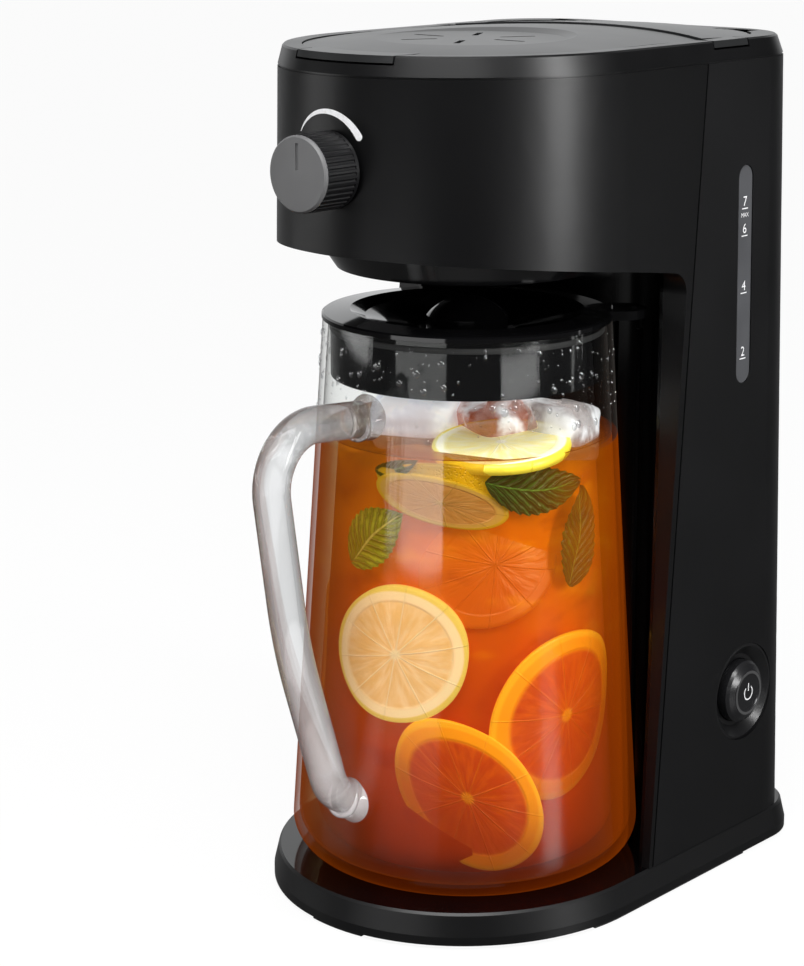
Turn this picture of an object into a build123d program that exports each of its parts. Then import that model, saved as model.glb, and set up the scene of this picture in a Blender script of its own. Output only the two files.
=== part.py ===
"""Iced tea maker: a drip machine with a rear water tank, a brewing head and a glass jug.

Millimetres, +Z up; the knob faces -Y, the level window and the power button are
on the +X side. The pieces are drawn about the centre of the base and moved by
FRAME_Y as they are written, so that the origin lies on the table under the middle
of the whole machine, from the jug's handle to the back of the base.
"""
from build123d import *
from math import asin, atan2, cos, degrees, pi, radians, sin, sqrt, tan
import os

os.makedirs("parts", exist_ok=True)

# ---------------------------------------------------------------- driving sizes
HEIGHT = 345.0            # floor to the rim of the top frame
SEAM_Z = HEIGHT - 8.0     # top frame sits on the housing here
DECK_Z = 14.0             # top of the base, where the jug stands
BASE_GAP = 1.5            # height of the rubber pads below the base
HEAD_HALF = 73.5          # half width of the housing at the seam
NOSE_Y = -25.9            # the rounded nose starts here
NOSE_DEPTH = 82.8         # from there to the front of the head
REAR_Y = 102.9            # back of the housing at the seam
CORNER_R = 32.0           # rear corners
DRAFT = tan(radians(0.8))  # the housing widens downwards on every side
WALL = 2.6                # moulded housing wall
BASE_HALF = HEAD_HALF + 6.6   # half width of the base
BASE_NOSE = NOSE_DEPTH + 2.6
BASE_REAR = REAR_Y + 6.7
BASE_CORNER = CORNER_R - 4.0

JUG_Y = NOSE_Y - 4.7      # axis of the jug, the drum and the round dish of the lid
JUG_WIDE_R = HEAD_HALF - 2.3  # widest, just above the foot
JUG_WIDE_Z = DECK_Z + 14.0
JUG_RIM_R = HEAD_HALF - 15.6
JUG_RIM_Z = HEIGHT - 109.4
JUG_FOOT_R = JUG_WIDE_R - 11.2
GLASS = 2.4               # jug wall
HANDLE_R = 7.2            # round glass rod
HANDLE_REACH = JUG_WIDE_R - JUG_Y + 49.7  # from the base's centre to the front of the handle
BAY_GAP = 5.3             # column face to the widest part of the jug

DRUM_R = HEAD_HALF - 13.5  # brewing drum under the head
DRUM_TOP_Z = HEIGHT - 35.0
DRUM_LOW_Z = HEIGHT - 88.0
DRUM_SHOULDER_Z = DRUM_LOW_Z + 11.0
DRUM_WALL = 2.2
BASKET_CLEAR = 0.5        # basket to drum
FILTER_CLEAR = 0.4        # filter to basket

LID_INSET = 9.5           # width of the frame's rim round the lids
LID_SEAT_Z = HEIGHT - 3.4  # ledge that the lids rest on
LID_GAP = 0.45            # gap round the lids
SPLIT_GAP = 0.6           # each lid to the line where they meet
CROWN = 2.8               # how far the lids bulge above the rim
DISH_R = DRUM_R - 14.0    # round dish pressed into the front lid
DISH_FLOOR_Z = HEIGHT + 1.3
SPLIT_SIDE_Y = JUG_Y + 60.8   # where the two lids meet, at the sides
SPLIT_MID_Y = SPLIT_SIDE_Y + 20.8  # and on the centre line
REAR_LID_STEP = 0.8       # the rear lid stands a little higher

TANK_WALL = 2.0
TANK_GAP = WALL + 1.8     # housing outline to tank
TANK_LOW_Z = HEIGHT - 153.0
TANK_TOP_Z = HEIGHT - 35.0
TANK_FRONT_Y = JUG_Y + 58.6

KNOB_Z = HEIGHT - 43.0
KNOB_R = 14.7
KNOB_LEN = 18.0
SHAFT_R = 3.0
BUTTON_Y = REAR_Y - 43.4
BUTTON_Z = 72.0
BEZEL_R = 20.6
BUTTON_R = 13.2
BUTTON_TRAVEL = 2.5
WINDOW_Y = REAR_Y - 47.9
WINDOW_LOW_Z = HEIGHT - 139.8
WINDOW_TOP_Z = HEIGHT - 50.6
WINDOW_W = 10.0

HEATER_Z = 40.0
HEATER_Y = REAR_Y - 22.9
HEATER_HALF = 44.0
TUBE_R = 4.0              # silicone hoses, outside
TUBE_BORE = 2.6
RUNNING = 0.06            # radial clearance of shafts and pins
FRAME_Y = (BASE_REAR - HANDLE_REACH) / 2
SEAT = 0.2                # parts that rest on each other


# ---------------------------------------------------------------- helpers
def d_face(z, half, nose, rear, corner):
    """D-shaped plan face at height z: half ellipse in front, rounded box behind."""
    edges = [
        EllipticalCenterArc((0, NOSE_Y), half, nose, 180, arc_size=180),
        Line((half, NOSE_Y), (half, rear - corner)),
        CenterArc((half - corner, rear - corner), corner, 0, 90),
        Line((half - corner, rear), (corner - half, rear)),
        CenterArc((corner - half, rear - corner), corner, 90, 90),
        Line((-half, rear - corner), (-half, NOSE_Y)),
    ]
    return Pos(0, 0, z) * make_face(edges)


def grow_at(z, inset):
    """How far the drafted wall stands outside the seam outline at height z."""
    return DRAFT * (SEAM_Z - z) - inset


def outline(z, inset=0.0):
    """Plan of the housing at height z, moved inwards by inset."""
    g = grow_at(z, inset)
    return d_face(z, HEAD_HALF + g, NOSE_DEPTH + g, REAR_Y + g, CORNER_R)


def hull(z0, z1, inset0=0.0, inset1=None):
    """Solid of the housing outline between two heights."""
    inset1 = inset0 if inset1 is None else inset1
    return loft([outline(z0, inset0), outline(z1, inset1)], ruled=True)


def base_hull(z0, z1, inset0=0.0, inset1=None):
    inset1 = inset0 if inset1 is None else inset1
    ends = [
        d_face(z, BASE_HALF - i, BASE_NOSE - i, BASE_REAR - i, BASE_CORNER - i)
        for z, i in ((z0, inset0), (z1, inset1))
    ]
    return loft(ends, ruled=True)


def block(x0, x1, y0, y1, z0, z1):
    return Pos((x0 + x1) / 2, (y0 + y1) / 2, (z0 + z1) / 2) * Box(x1 - x0, y1 - y0, z1 - z0)


def drum_shape(z0, z1, radius, y=JUG_Y, x=0.0):
    """Upright cylinder."""
    return Pos(x, y, (z0 + z1) / 2) * Cylinder(radius, z1 - z0)


def along_x(x0, x1, y, z, radius):
    return Pos((x0 + x1) / 2, y, z) * Rot(0, 90, 0) * Cylinder(radius, abs(x1 - x0))


def along_y(y0, y1, z, radius, x=0.0):
    return Pos(x, (y0 + y1) / 2, z) * Rot(90, 0, 0) * Cylinder(radius, abs(y1 - y0))


def turned(points, y=JUG_Y):
    """Solid of revolution about the upright axis at y, from (radius, z) points."""
    profile = make_face(Polyline(*[(r, z) for r, z in points], close=True))
    return Pos(0, y, 0) * revolve(Plane.XZ * profile, Axis.Z)


def side_prism(sketch, x0=-120.0, x1=120.0):
    """A (y, z) sketch extruded along X."""
    face = Plane.YZ.offset(x0) * sketch
    return extrude(face, amount=x1 - x0, dir=(1, 0, 0))


def mirrored(shape):
    return mirror(shape, about=Plane.YZ)


def one(shape):
    """The largest solid of a boolean result."""
    return max(shape.solids(), key=lambda s: s.volume)


def save(shape, node):
    solids = (Pos(0, -FRAME_Y, 0) * shape).solids()
    body = solids[0] if len(solids) == 1 else Compound(children=list(solids))
    export_step(body, "parts/" + node + ".step")


# ---------------------------------------------------------------- housing lines
PARTING_LEAN = 0.0990     # parting line between front housing and rear shell
PARTING_TOP_Y = JUG_Y + 58.0
PORTAL_LEAN = 0.0924      # front edge of the column's sides
PORTAL_TOP_Y = JUG_Y + 45.7
PORTAL_TOP_Z = HEIGHT - 89.8
PORTAL_R = 9.0
HEAD_LOW_FRONT = (NOSE_Y - NOSE_DEPTH + 0.1, HEIGHT - 75.5)
HEAD_LOW_MID = (JUG_Y - 19.4, HEIGHT - 81.0)
FAR = 260.0
SIDE_X = HEAD_HALF + 46.5  # limits well outside the machine, for cutting blocks
FRONT_Y = NOSE_Y - NOSE_DEPTH - 21.3
BACK_Y = REAR_Y + 27.1
ABOVE_Z = HEIGHT + 15.0

GROOVE_W = 0.9            # shadow grooves where the mouldings meet
GROOVE_DEPTH = 0.6

RECESS_R = JUG_WIDE_R + BAY_GAP
RECESS_TOP_Z = PORTAL_TOP_Z


def parting_y(z):
    return PARTING_TOP_Y - PARTING_LEAN * (SEAM_Z - z)


def portal_y(z):
    return PORTAL_TOP_Y - PORTAL_LEAN * (PORTAL_TOP_Z - z)


def front_of_parting(gap=0.0):
    """Everything in front of the sloping parting plane."""
    sketch = make_face(Polyline(
        (-FAR, -5), (parting_y(-5) - gap, -5), (parting_y(HEIGHT + 5) - gap, HEIGHT + 5),
        (-FAR, HEIGHT + 5), close=True))
    return side_prism(sketch)


def bay_profile():
    """Side view of the space for the jug: under the head and in front of the column."""
    low = DECK_Z - 8
    corner = (PORTAL_TOP_Y, PORTAL_TOP_Z)
    face = make_face([
        Line((-FAR, low), (portal_y(low), low)),
        Line((portal_y(low), low), corner),
        ThreePointArc(corner, HEAD_LOW_MID, HEAD_LOW_FRONT),
        Line(HEAD_LOW_FRONT, (-FAR, HEAD_LOW_FRONT[1] + 2)),
        Line((-FAR, HEAD_LOW_FRONT[1] + 2), (-FAR, low)),
    ])
    inner = face.vertices().sort_by_distance((PORTAL_TOP_Y, PORTAL_TOP_Z))[0]
    return fillet(inner, PORTAL_R)


def bay_space(grow=0.0):
    """The jug bay as a solid, grown outwards by a wall."""
    profile = bay_profile()
    if grow:
        profile = offset(profile, amount=grow)
    recess = drum_shape(DECK_Z - 9, RECESS_TOP_Z + grow, RECESS_R + grow)
    return side_prism(profile) + recess


def seam_groove():
    """Shallow shadow groove round the housing where the top frame sits on it."""
    half = GROOVE_W / 2
    return hull(SEAM_Z - half, SEAM_Z + half, -1.0) - hull(
        SEAM_Z - half - 0.1, SEAM_Z + half + 0.1, GROOVE_DEPTH)


def parting_groove():
    """The same groove down the parting line between front housing and rear shell."""
    half = GROOVE_W / 2
    band = front_of_parting(-half) - front_of_parting(half)
    return band & (hull(DECK_Z, SEAM_Z, -1.0) - hull(DECK_Z - 1, SEAM_Z + 1, GROOVE_DEPTH))


def split_arc(shift=0.0):
    """Plan line where the lids meet, as (radius, centre y)."""
    sag = SPLIT_MID_Y - SPLIT_SIDE_Y
    radius = (HEAD_HALF ** 2 + sag ** 2) / (2 * sag)
    return radius + shift, SPLIT_MID_Y - radius


def in_front_of_split(shift=0.0, z0=HEIGHT - 45.0, z1=ABOVE_Z, lean=0.0):
    """Everything in front of the split; a lean draws the edge forward above the ledge."""
    radius, centre = split_arc(shift)
    foot = radius - lean * (z0 - LID_SEAT_Z)
    return turned([(0, z0), (foot, z0), (radius - lean * (z1 - LID_SEAT_Z), z1), (0, z1)], centre)


# ---------------------------------------------------------------- base
RIDGE_INSET = 1.9
BAND_Z = 5.0
DECK_SOFT = 0.9           # chamfer where the deck meets the sloping edge
SCREW_R = 1.6
PAD_DEPTH = 11.0
COVER_T = 2.2
BOSS_SPOTS = [
    (s * (BASE_HALF - inset), y) for inset, y in ((28.1, JUG_Y - 31.4), (20.1, REAR_Y - 18.9))
    for s in (-1, 1)
]


def base_tray():
    """Base moulding: flat deck, sloping band and a short upright edge, hollow below."""
    body = base_hull(BASE_GAP, BAND_Z) + base_hull(BAND_Z, DECK_Z - DECK_SOFT, 0, RIDGE_INSET)
    body = body + base_hull(DECK_Z - DECK_SOFT, DECK_Z, RIDGE_INSET, RIDGE_INSET + DECK_SOFT)
    hollow = base_hull(BASE_GAP - 1, BAND_Z, WALL) + base_hull(
        BAND_Z, DECK_Z - WALL, WALL, WALL + RIDGE_INSET)
    body = body - hollow
    for x, y in BOSS_SPOTS:
        body = body + drum_shape(BASE_GAP + COVER_T + SEAT, DECK_Z - 1, 4.0, y=y, x=x)
        body = body - drum_shape(BASE_GAP, DECK_Z - 4, SCREW_R, y=y, x=x)
    return body


def base_cover():
    """Plate that closes the underside."""
    plate = base_hull(BASE_GAP, BASE_GAP + COVER_T, WALL + 0.3)
    for x, y in BOSS_SPOTS:
        plate = plate - drum_shape(0, 9, SCREW_R + 0.3, y=y, x=x)
    for row in range(5):
        plate = plate - block(
            -24, 24, REAR_Y - 72.9 + 9 * row, REAR_Y - 69.9 + 9 * row, 0, 9)
    return plate


def base_screws():
    """Pan-head screws up into the bosses."""
    screws = []
    for x, y in BOSS_SPOTS:
        head = drum_shape(BASE_GAP - 1.2, BASE_GAP, 3.2, y=y, x=x)
        shank = drum_shape(BASE_GAP, DECK_Z - 5, SCREW_R - 0.1, y=y, x=x)
        screws.append(head + shank)
    return Compound(children=[s.solids()[0] for s in screws])


def base_pads():
    """Rubber pads along the rim: front, both sides and rear."""
    ring = base_hull(0, BASE_GAP, 1.2) - base_hull(-1, BASE_GAP + 1, PAD_DEPTH)
    spans = [
        block(-13, 13, FRONT_Y, NOSE_Y - 34.1, -1, 5),
        block(-13, 13, REAR_Y - 42.9, BACK_Y, -1, 5),
        block(BASE_HALF - 40.1, SIDE_X, NOSE_Y - 16.1, REAR_Y - 42.9, -1, 5),
        block(-SIDE_X, 40.1 - BASE_HALF, NOSE_Y - 16.1, REAR_Y - 42.9, -1, 5),
    ]
    return Compound(children=[one(ring & span) for span in spans])


# ---------------------------------------------------------------- housings
def front_housing():
    """Head wall, head floor, column lips and the concave column face, one moulding."""
    outer = hull(DECK_Z, SEAM_Z)
    cavity = hull(DECK_Z - 1, SEAM_Z + 1, WALL)
    grown = bay_space(WALL)
    walls = (outer - cavity) & front_of_parting()
    skin = (cavity & grown) & block(-SIDE_X, SIDE_X, -FAR, FAR, DECK_Z, HEIGHT)
    inside = hull(DECK_Z - 1, SEAM_Z + 1, WALL + 0.3) + front_of_parting()
    body = (walls + (outer & grown & front_of_parting()) + (skin & inside)) - bay_space()
    body = body - drum_shape(DECK_Z, SEAM_Z, DRUM_R + 0.4)
    body = body - along_y(FRONT_Y, JUG_Y, KNOB_Z, SHAFT_R + RUNNING)
    for step in (-2, -1, 1, 2):
        rib = Pos(0, JUG_Y, 0) * Rot(0, 0, 90 + 14 * step) * block(
            RECESS_R - 1.2, RECESS_R + 0.5, -1.0, 1.0, DECK_Z, PORTAL_TOP_Z - 30)
        body = body + rib
    return one(body - seam_groove() - parting_groove())


def window_prism(extra=0.0, x0=HEAD_HALF - 33.5, x1=SIDE_X):
    """Upright slot with round ends on the +X side."""
    half = WINDOW_W / 2 + extra
    height = WINDOW_TOP_Z - WINDOW_LOW_Z - WINDOW_W
    slot = SlotCenterToCenter(height, 2 * half, rotation=90)
    centre = ((WINDOW_LOW_Z + WINDOW_TOP_Z) / 2)
    return side_prism(Pos(WINDOW_Y, centre) * slot, x0, x1)


def rear_shell():
    """U-shaped shell behind the parting line, with its window, button and cord holes."""
    body = hull(DECK_Z, SEAM_Z) - hull(DECK_Z - 1, SEAM_Z + 1, WALL)
    body = body - front_of_parting(-0.15) - seam_groove() - parting_groove()
    body = body - window_prism(0.15)
    body = body - along_x(HEAD_HALF - 33.5, SIDE_X, BUTTON_Y, BUTTON_Z, BEZEL_R + 0.15)
    body = body - along_y(REAR_Y - 42.9, BACK_Y, CORD_Z, GLAND_R, x=CORD_X)
    for row in range(6):
        body = body - block(-22, 22, REAR_Y - 22.9, BACK_Y, 32 + 8 * row, 35 + 8 * row)
    lug = hull(TANK_LOW_Z - 8, TANK_LOW_Z - SEAT, WALL - 0.5) - hull(
        TANK_LOW_Z - 9, TANK_LOW_Z + 1, WALL + 5)
    lug_z = (TANK_LOW_Z - 42, TANK_LOW_Z + 68)
    for x0, x1 in ((-25, -15), (15, 25)):
        body = body + (lug & block(x0, x1, REAR_Y - 22.9, BACK_Y, *lug_z))
    for sign in (-1, 1):
        x0, x1 = sorted((sign * (HEAD_HALF - 23.5), sign * SIDE_X))
        body = body + (lug & block(x0, x1, TANK_FRONT_Y + 16, TANK_FRONT_Y + 26, *lug_z))
    return one(body)


CORD_X = -36.0
CORD_Z = 30.0
GLAND_R = 6.0


def cord_gland():
    """Rubber bush in the mains inlet at the back."""
    y = REAR_Y + grow_at(CORD_Z, 0)
    body = along_y(y - 5, y + 1, CORD_Z, GLAND_R - 0.1, x=CORD_X)
    body = body + along_y(y - 6.4, y - WALL - 0.4, CORD_Z, GLAND_R + 1.8, x=CORD_X)
    body = body + along_y(y + 0.15, y + 1.6, CORD_Z, GLAND_R + 1.6, x=CORD_X)
    return body - along_y(y - 9, y + 9, CORD_Z, 3.4, x=CORD_X)


def level_window():
    """Smoked lens in the slot, with a flange inside the shell."""
    low, high = WINDOW_LOW_Z - 55.2, WINDOW_TOP_Z + 25.6
    band = hull(low, high, 0.5) - hull(low - 1, high + 1, WALL + 1.6)
    flange = hull(low, high, WALL + 0.1) - hull(low - 1, high + 1, WALL + 1.6)
    return one((band & window_prism()) + (flange & window_prism(1.8)))


def window_gasket():
    """Silicone frame between the flange and the tank."""
    low, high = WINDOW_LOW_Z - 55.2, WINDOW_TOP_Z + 25.6
    ring = hull(low, high, WALL + 1.6) - hull(low - 1, high + 1, TANK_GAP - 0.05)
    return one(ring & (window_prism(1.8) - window_prism(-0.6)))


# ---------------------------------------------------------------- top frame and lids
HINGE_Y = SPLIT_SIDE_Y - 7.2  # front lid
HINGE_Z = HEIGHT - 4.0
PIN_R = 1.8
PIN_LEN = 8.6
EAR_T = 3.1               # the lid's ears, just inside the frame
EAR_TAIL = 16.5           # ledge cut away behind the hinge, where the lid dips
EDGE_LEAN = 0.12          # the front lid's rear edge clears the rear lid as it swings
RAIL_GAP = 2.2
REAR_HINGE_Y = REAR_Y - 12.3
REAR_HINGE_Z = HEIGHT - 2.4
REAR_PIN_R = 1.5
REAR_EAR = (34.0, 40.0)
FRONT_TAB = 24.0          # half width of the finger grip
SIDE_TAB = (SPLIT_SIDE_Y + 3.2, SPLIT_SIDE_Y + 26.6)   # finger grips of the rear lid
TAB_LOW_Z = HEIGHT - 2.7
LEDGE = 4.5
TAB_SHADOW = 0.8          # open line round the grips
RIM_DRAFT = 1.8           # the frame leans in towards the rim
RIM_SOFT = 0.7            # chamfer along the rim
CROSS_W = 8.0


def rim_slab(z0, z1, inset):
    """Plan of the frame's opening as a solid."""
    return extrude(outline(SEAM_Z, inset).moved(Location((0, 0, z0 - SEAM_Z))), amount=z1 - z0)


def top_frame():
    """Frame round both lids, with its ledge, cross rail, grip notches and hinge seats."""
    body = hull(SEAM_Z, HEIGHT - RIM_SOFT, 0, RIM_DRAFT)
    body = body + hull(HEIGHT - RIM_SOFT, HEIGHT, RIM_DRAFT, RIM_DRAFT + RIM_SOFT)
    body = body - seam_groove()
    body = body + rim_slab(SEAM_Z - 3, SEAM_Z, WALL + 0.2)
    body = body - rim_slab(LID_SEAT_Z, HEIGHT + 1, LID_INSET)
    opening = rim_slab(SEAM_Z - 4, HEIGHT, LID_INSET + LEDGE)
    rail = in_front_of_split(CROSS_W, SEAM_Z - 4, LID_SEAT_Z) - in_front_of_split(
        RAIL_GAP, SEAM_Z - 5, LID_SEAT_Z + 1)
    body = body - (opening - rail)
    swing = rim_slab(SEAM_Z - 4, HEIGHT, LID_INSET) & block(
        -SIDE_X, SIDE_X, HINGE_Y - 5, HINGE_Y + EAR_TAIL, SEAM_Z - 4, HEIGHT)
    ear_x = HEAD_HALF - 33.5
    sides = block(ear_x, SIDE_X, -FAR, FAR, SEAM_Z - 9, ABOVE_Z)
    body = body - (swing & (sides + mirrored(sides)))
    notch = TAB_LOW_Z - TAB_SHADOW
    side = FRONT_TAB + TAB_SHADOW
    body = body - block(-side, side, FRONT_Y, JUG_Y - 40, notch, HEIGHT + 9)
    for sign in (-1, 1):
        x0, x1 = sorted((sign * (HEAD_HALF - 23.5), sign * SIDE_X))
        body = body - block(x0, x1, SIDE_TAB[0] - TAB_SHADOW, SIDE_TAB[1] + TAB_SHADOW, notch,
                            HEIGHT + 9)
    trough = along_x(-52, 52, REAR_HINGE_Y, REAR_HINGE_Z, 4.5)
    body = body - trough
    for sign in (-1, 1):
        x0, x1 = sorted((sign * REAR_EAR[0], sign * REAR_EAR[1]))
        ear = along_x(x0, x1, REAR_HINGE_Y, REAR_HINGE_Z, REAR_PIN_R + 1.4)
        ear = ear + block(x0, x1, REAR_HINGE_Y, REAR_HINGE_Y + 5, LID_SEAT_Z - 3,
                          HEIGHT - 0.2)
        ear = ear + block(x0, x1, REAR_HINGE_Y - 2, REAR_HINGE_Y + 1, LID_SEAT_Z - 3,
                          REAR_HINGE_Z)
        body = body + (ear & hull(SEAM_Z, HEIGHT, 1, RIM_DRAFT + 1))
    body = body - along_x(-REAR_EAR[1] - 1, REAR_EAR[1] + 1, REAR_HINGE_Y, REAR_HINGE_Z,
                          REAR_PIN_R + RUNNING)
    reach = HEAD_HALF - LID_INSET + PIN_LEN - EAR_T
    body = body - along_x(-reach, reach, HINGE_Y, HINGE_Z, PIN_R + RUNNING)
    return one(body)


EAR_X = HEAD_HALF - LID_INSET - LID_GAP - 0.2


def crown_space(drop=0.0, lift=0.0):
    """Space below the cushion-shaped top of the lids, one doubly curved surface."""
    half = HEAD_HALF - LID_INSET
    length = REAR_Y - LID_INSET
    radius_x = (half ** 2 + CROWN ** 2) / (2 * CROWN)
    radius_y = (length ** 2 + CROWN ** 2) / (2 * CROWN)
    ring = Torus(radius_y - radius_x, radius_x - drop)
    ring = Pos(0, 0, HEIGHT + CROWN + lift - radius_y) * Rot(0, 90, 0) * ring
    x = HEAD_HALF + 16.5
    return ring & block(-x, x, FRONT_Y, BACK_Y, HEIGHT - 25, ABOVE_Z)


def brew_lid():
    """Front lid: crowned shell with the round dish, steam slots, grip and hinge ears."""
    plan = rim_slab(LID_SEAT_Z + SEAT, ABOVE_Z, LID_INSET + LID_GAP)
    grip = block(-FRONT_TAB, FRONT_TAB, FRONT_Y, JUG_Y - 39.4, TAB_LOW_Z, ABOVE_Z) & hull(
        SEAM_Z, HEIGHT, 0.2, RIM_DRAFT + 0.2)
    body = (plan & crown_space()) + grip
    body = body & in_front_of_split(-SPLIT_GAP, lean=EDGE_LEAN)
    hollow = rim_slab(SEAM_Z, ABOVE_Z, LID_INSET + LID_GAP + 2.2) & crown_space(2.2)
    hollow = hollow & in_front_of_split(-SPLIT_GAP - 2.2, lean=EDGE_LEAN)
    body = body - hollow
    under = turned([(0, HINGE_Z), (DISH_R - 6, HINGE_Z), (DISH_R - 6, DISH_FLOOR_Z - 1.8),
                    (0, DISH_FLOOR_Z - 1.8)])
    floor = turned([(0, DISH_FLOOR_Z - 1.8), (DISH_R + 2, DISH_FLOOR_Z - 1.8),
                    (DISH_R + 2, ABOVE_Z), (0, ABOVE_Z)]) & crown_space()
    body = ((body + floor) - under) - dish_cut()
    for i in range(6):
        slot = Pos(0, JUG_Y, 0) * Rot(0, 0, 60 * i) * Pos(20.5, 0, 0) * extrude(
            Pos(0, 0, SEAM_Z) * SlotOverall(15, 2.4), amount=30)
        body = body - slot
    for sign in (-1, 1):
        x0, x1 = sorted((sign * (EAR_X - EAR_T), sign * EAR_X))
        ear = along_x(x0, x1, HINGE_Y, HINGE_Z, PIN_R + 1.8)
        body = body + ear + block(x0, x1, HINGE_Y - 3.6, HINGE_Y + 3.6, HINGE_Z,
                                  HEIGHT - 1.0)
        body = body - along_x(sign * (EAR_X - 13.35), sign * (EAR_X + 6.65), HINGE_Y, HINGE_Z, PIN_R)
    return one(body)


def dish_cut():
    """Shallow dish with a sloping wall."""
    rise = HEIGHT + CROWN - DISH_FLOOR_Z
    slope = 8.0 / rise
    return turned([(0, DISH_FLOOR_Z), (DISH_R - 8, DISH_FLOOR_Z),
                   (DISH_R - 8 + slope * 6, DISH_FLOOR_Z + 6), (0, DISH_FLOOR_Z + 6)])


def brew_lid_pins():
    """Stub pins fixed in the lid's ears, turning in the frame."""
    return Compound(children=[
        along_x(s * (EAR_X - EAR_T), s * (EAR_X - EAR_T + PIN_LEN), HINGE_Y, HINGE_Z,
                PIN_R).solids()[0]
        for s in (-1, 1)])


def tank_lid():
    """Rear lid over the tank, a little proud, with a grip at each side."""
    lift = REAR_LID_STEP
    plan = rim_slab(LID_SEAT_Z + SEAT, ABOVE_Z, LID_INSET + LID_GAP)
    grips = block(-SIDE_X, SIDE_X, SIDE_TAB[0], SIDE_TAB[1], TAB_LOW_Z, HEIGHT) & hull(
        SEAM_Z, HEIGHT + 1, 0.2, RIM_DRAFT + 0.4)
    body = (plan & crown_space(lift=lift)) + grips
    body = body - in_front_of_split(SPLIT_GAP)
    hollow = rim_slab(SEAM_Z, ABOVE_Z, LID_INSET + LID_GAP + 2.2) & crown_space(2.2, lift)
    hollow = hollow - in_front_of_split(SPLIT_GAP + 2.2)
    hollow = hollow - block(-50, 50, REAR_HINGE_Y - 5.6, BACK_Y, SEAM_Z - 7, ABOVE_Z)
    body = body - hollow
    for sign in (-1, 1):
        x0, x1 = sorted((sign * (REAR_EAR[0] - 0.4), sign * (REAR_EAR[1] + 0.4)))
        body = body - block(x0, x1, REAR_HINGE_Y - 3.6, BACK_Y, SEAM_Z - 7, ABOVE_Z)
    body = body - along_x(-REAR_EAR[1], REAR_EAR[1], REAR_HINGE_Y, REAR_HINGE_Z, REAR_PIN_R)
    return one(body)


def tank_lid_pins():
    return Compound(children=[
        along_x(s * (REAR_EAR[0] - 6), s * (REAR_EAR[1] - 0.3), REAR_HINGE_Y, REAR_HINGE_Z,
                REAR_PIN_R).solids()[0] for s in (-1, 1)])


# ---------------------------------------------------------------- brewing drum
BASKET_R = DRUM_R - DRUM_WALL - BASKET_CLEAR
OUTLET_R = 6.0


def brew_drum():
    """Glossy drum that hangs under the head, with its drip outlet."""
    shoulder = DRUM_R - 7.5
    outer = [(0, DRUM_LOW_Z), (shoulder, DRUM_LOW_Z), (DRUM_R, DRUM_SHOULDER_Z),
             (DRUM_R, DRUM_TOP_Z), (0, DRUM_TOP_Z)]
    t = DRUM_WALL
    inner = [(0, DRUM_LOW_Z + t), (shoulder - 1, DRUM_LOW_Z + t),
             (DRUM_R - t, DRUM_SHOULDER_Z + 1), (DRUM_R - t, DRUM_TOP_Z + 1),
             (0, DRUM_TOP_Z + 1)]
    body = turned(outer) - turned(inner)
    body = body + drum_shape(DRUM_LOW_Z - 4, DRUM_LOW_Z + 1, OUTLET_R + 2.4)
    body = body - drum_shape(DRUM_LOW_Z - 5, DRUM_LOW_Z + 5, OUTLET_R)
    return body


def brew_basket():
    """Lift-out basket hanging by its rim on the drum."""
    top = DRUM_TOP_Z + 2 + SEAT
    low = DRUM_LOW_Z + 12
    r = BASKET_R
    t = 1.8
    outer = [(0, low), (r - 16, low), (r, low + 30), (r, DRUM_TOP_Z + SEAT),
             (DRUM_R - 0.5, DRUM_TOP_Z + SEAT), (DRUM_R - 0.5, top), (0, top)]
    inner = [(0, low + t), (r - 16 - t, low + t), (r - t, low + 30), (r - t, top + 1),
             (0, top + 1)]
    body = turned(outer) - turned(inner)
    body = body - drum_shape(low - 1, low + 4, 4.0)
    for i in range(6):
        rib = Pos(0, JUG_Y, 0) * Rot(0, 0, 60 * i) * block(9, 36, -0.8, 0.8, low + t, low + t + 1.6)
        body = body + rib
    return one(body)


FILTER_LOW_Z = DRUM_LOW_Z + 12 + 1.8 + 1.6 + SEAT
FILTER_R = BASKET_R - 1.8 - FILTER_CLEAR
FILTER_T = 1.6


def filter_frame():
    """Permanent filter: a cup with windows that the mesh closes."""
    low, r, t = FILTER_LOW_Z, FILTER_R, FILTER_T
    top = DRUM_TOP_Z - 6
    outer = [(0, low), (r - 17, low), (r - 1, low + 30), (r - 1, top), (0, top)]
    inner = [(0, low + t), (r - 17 - t, low + t), (r - 1 - t, low + 30), (r - 1 - t, top + 1),
             (0, top + 1)]
    body = turned(outer) - turned(inner)
    for i in range(8):
        opening = Pos(0, JUG_Y, 0) * Rot(0, 0, 45 * i) * block(30, 60, -11, 11, low + 26, top - 4)
        body = body - opening
    return one(body)


def filter_mesh():
    """Fine mesh lining inside the filter frame's windows."""
    low = FILTER_LOW_Z + 24
    top = DRUM_TOP_Z - 8
    r = FILTER_R - 1 - FILTER_T - 0.05
    t = 0.6
    dip = 6 * (16 / (30 - FILTER_T))
    return turned([(r - dip, low), (r, low + 6), (r, top), (r - t, top), (r - t, low + 6),
                   (r - dip - t, low)])


def water_spout():
    """Fixed spout from the riser hose over the basket."""
    start = Vector(-RISER_X, RISER_Y, 0)
    centre = Vector(0, JUG_Y, 0)
    way = (centre - start).normalized()
    reach = (centre - start).length - 40
    z = SPOUT_Z
    path = FilletPolyline(
        (start.X, start.Y, z - 14), (start.X, start.Y, z),
        (start.X + way.X * reach, start.Y + way.Y * reach, z),
        (start.X + way.X * reach, start.Y + way.Y * reach, z - 7), radius=5)
    outer = sweep(Plane(origin=path @ 0, z_dir=path % 0) * Circle(3.4), path=path)
    inner = sweep(Plane(origin=path @ 0, z_dir=path % 0) * Circle(1.8), path=path)
    return outer - inner


SPOUT_Z = HEIGHT - 27.0
RISER_X = HEAD_HALF - 7.5
RISER_Y = TANK_FRONT_Y - 5.4


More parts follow.
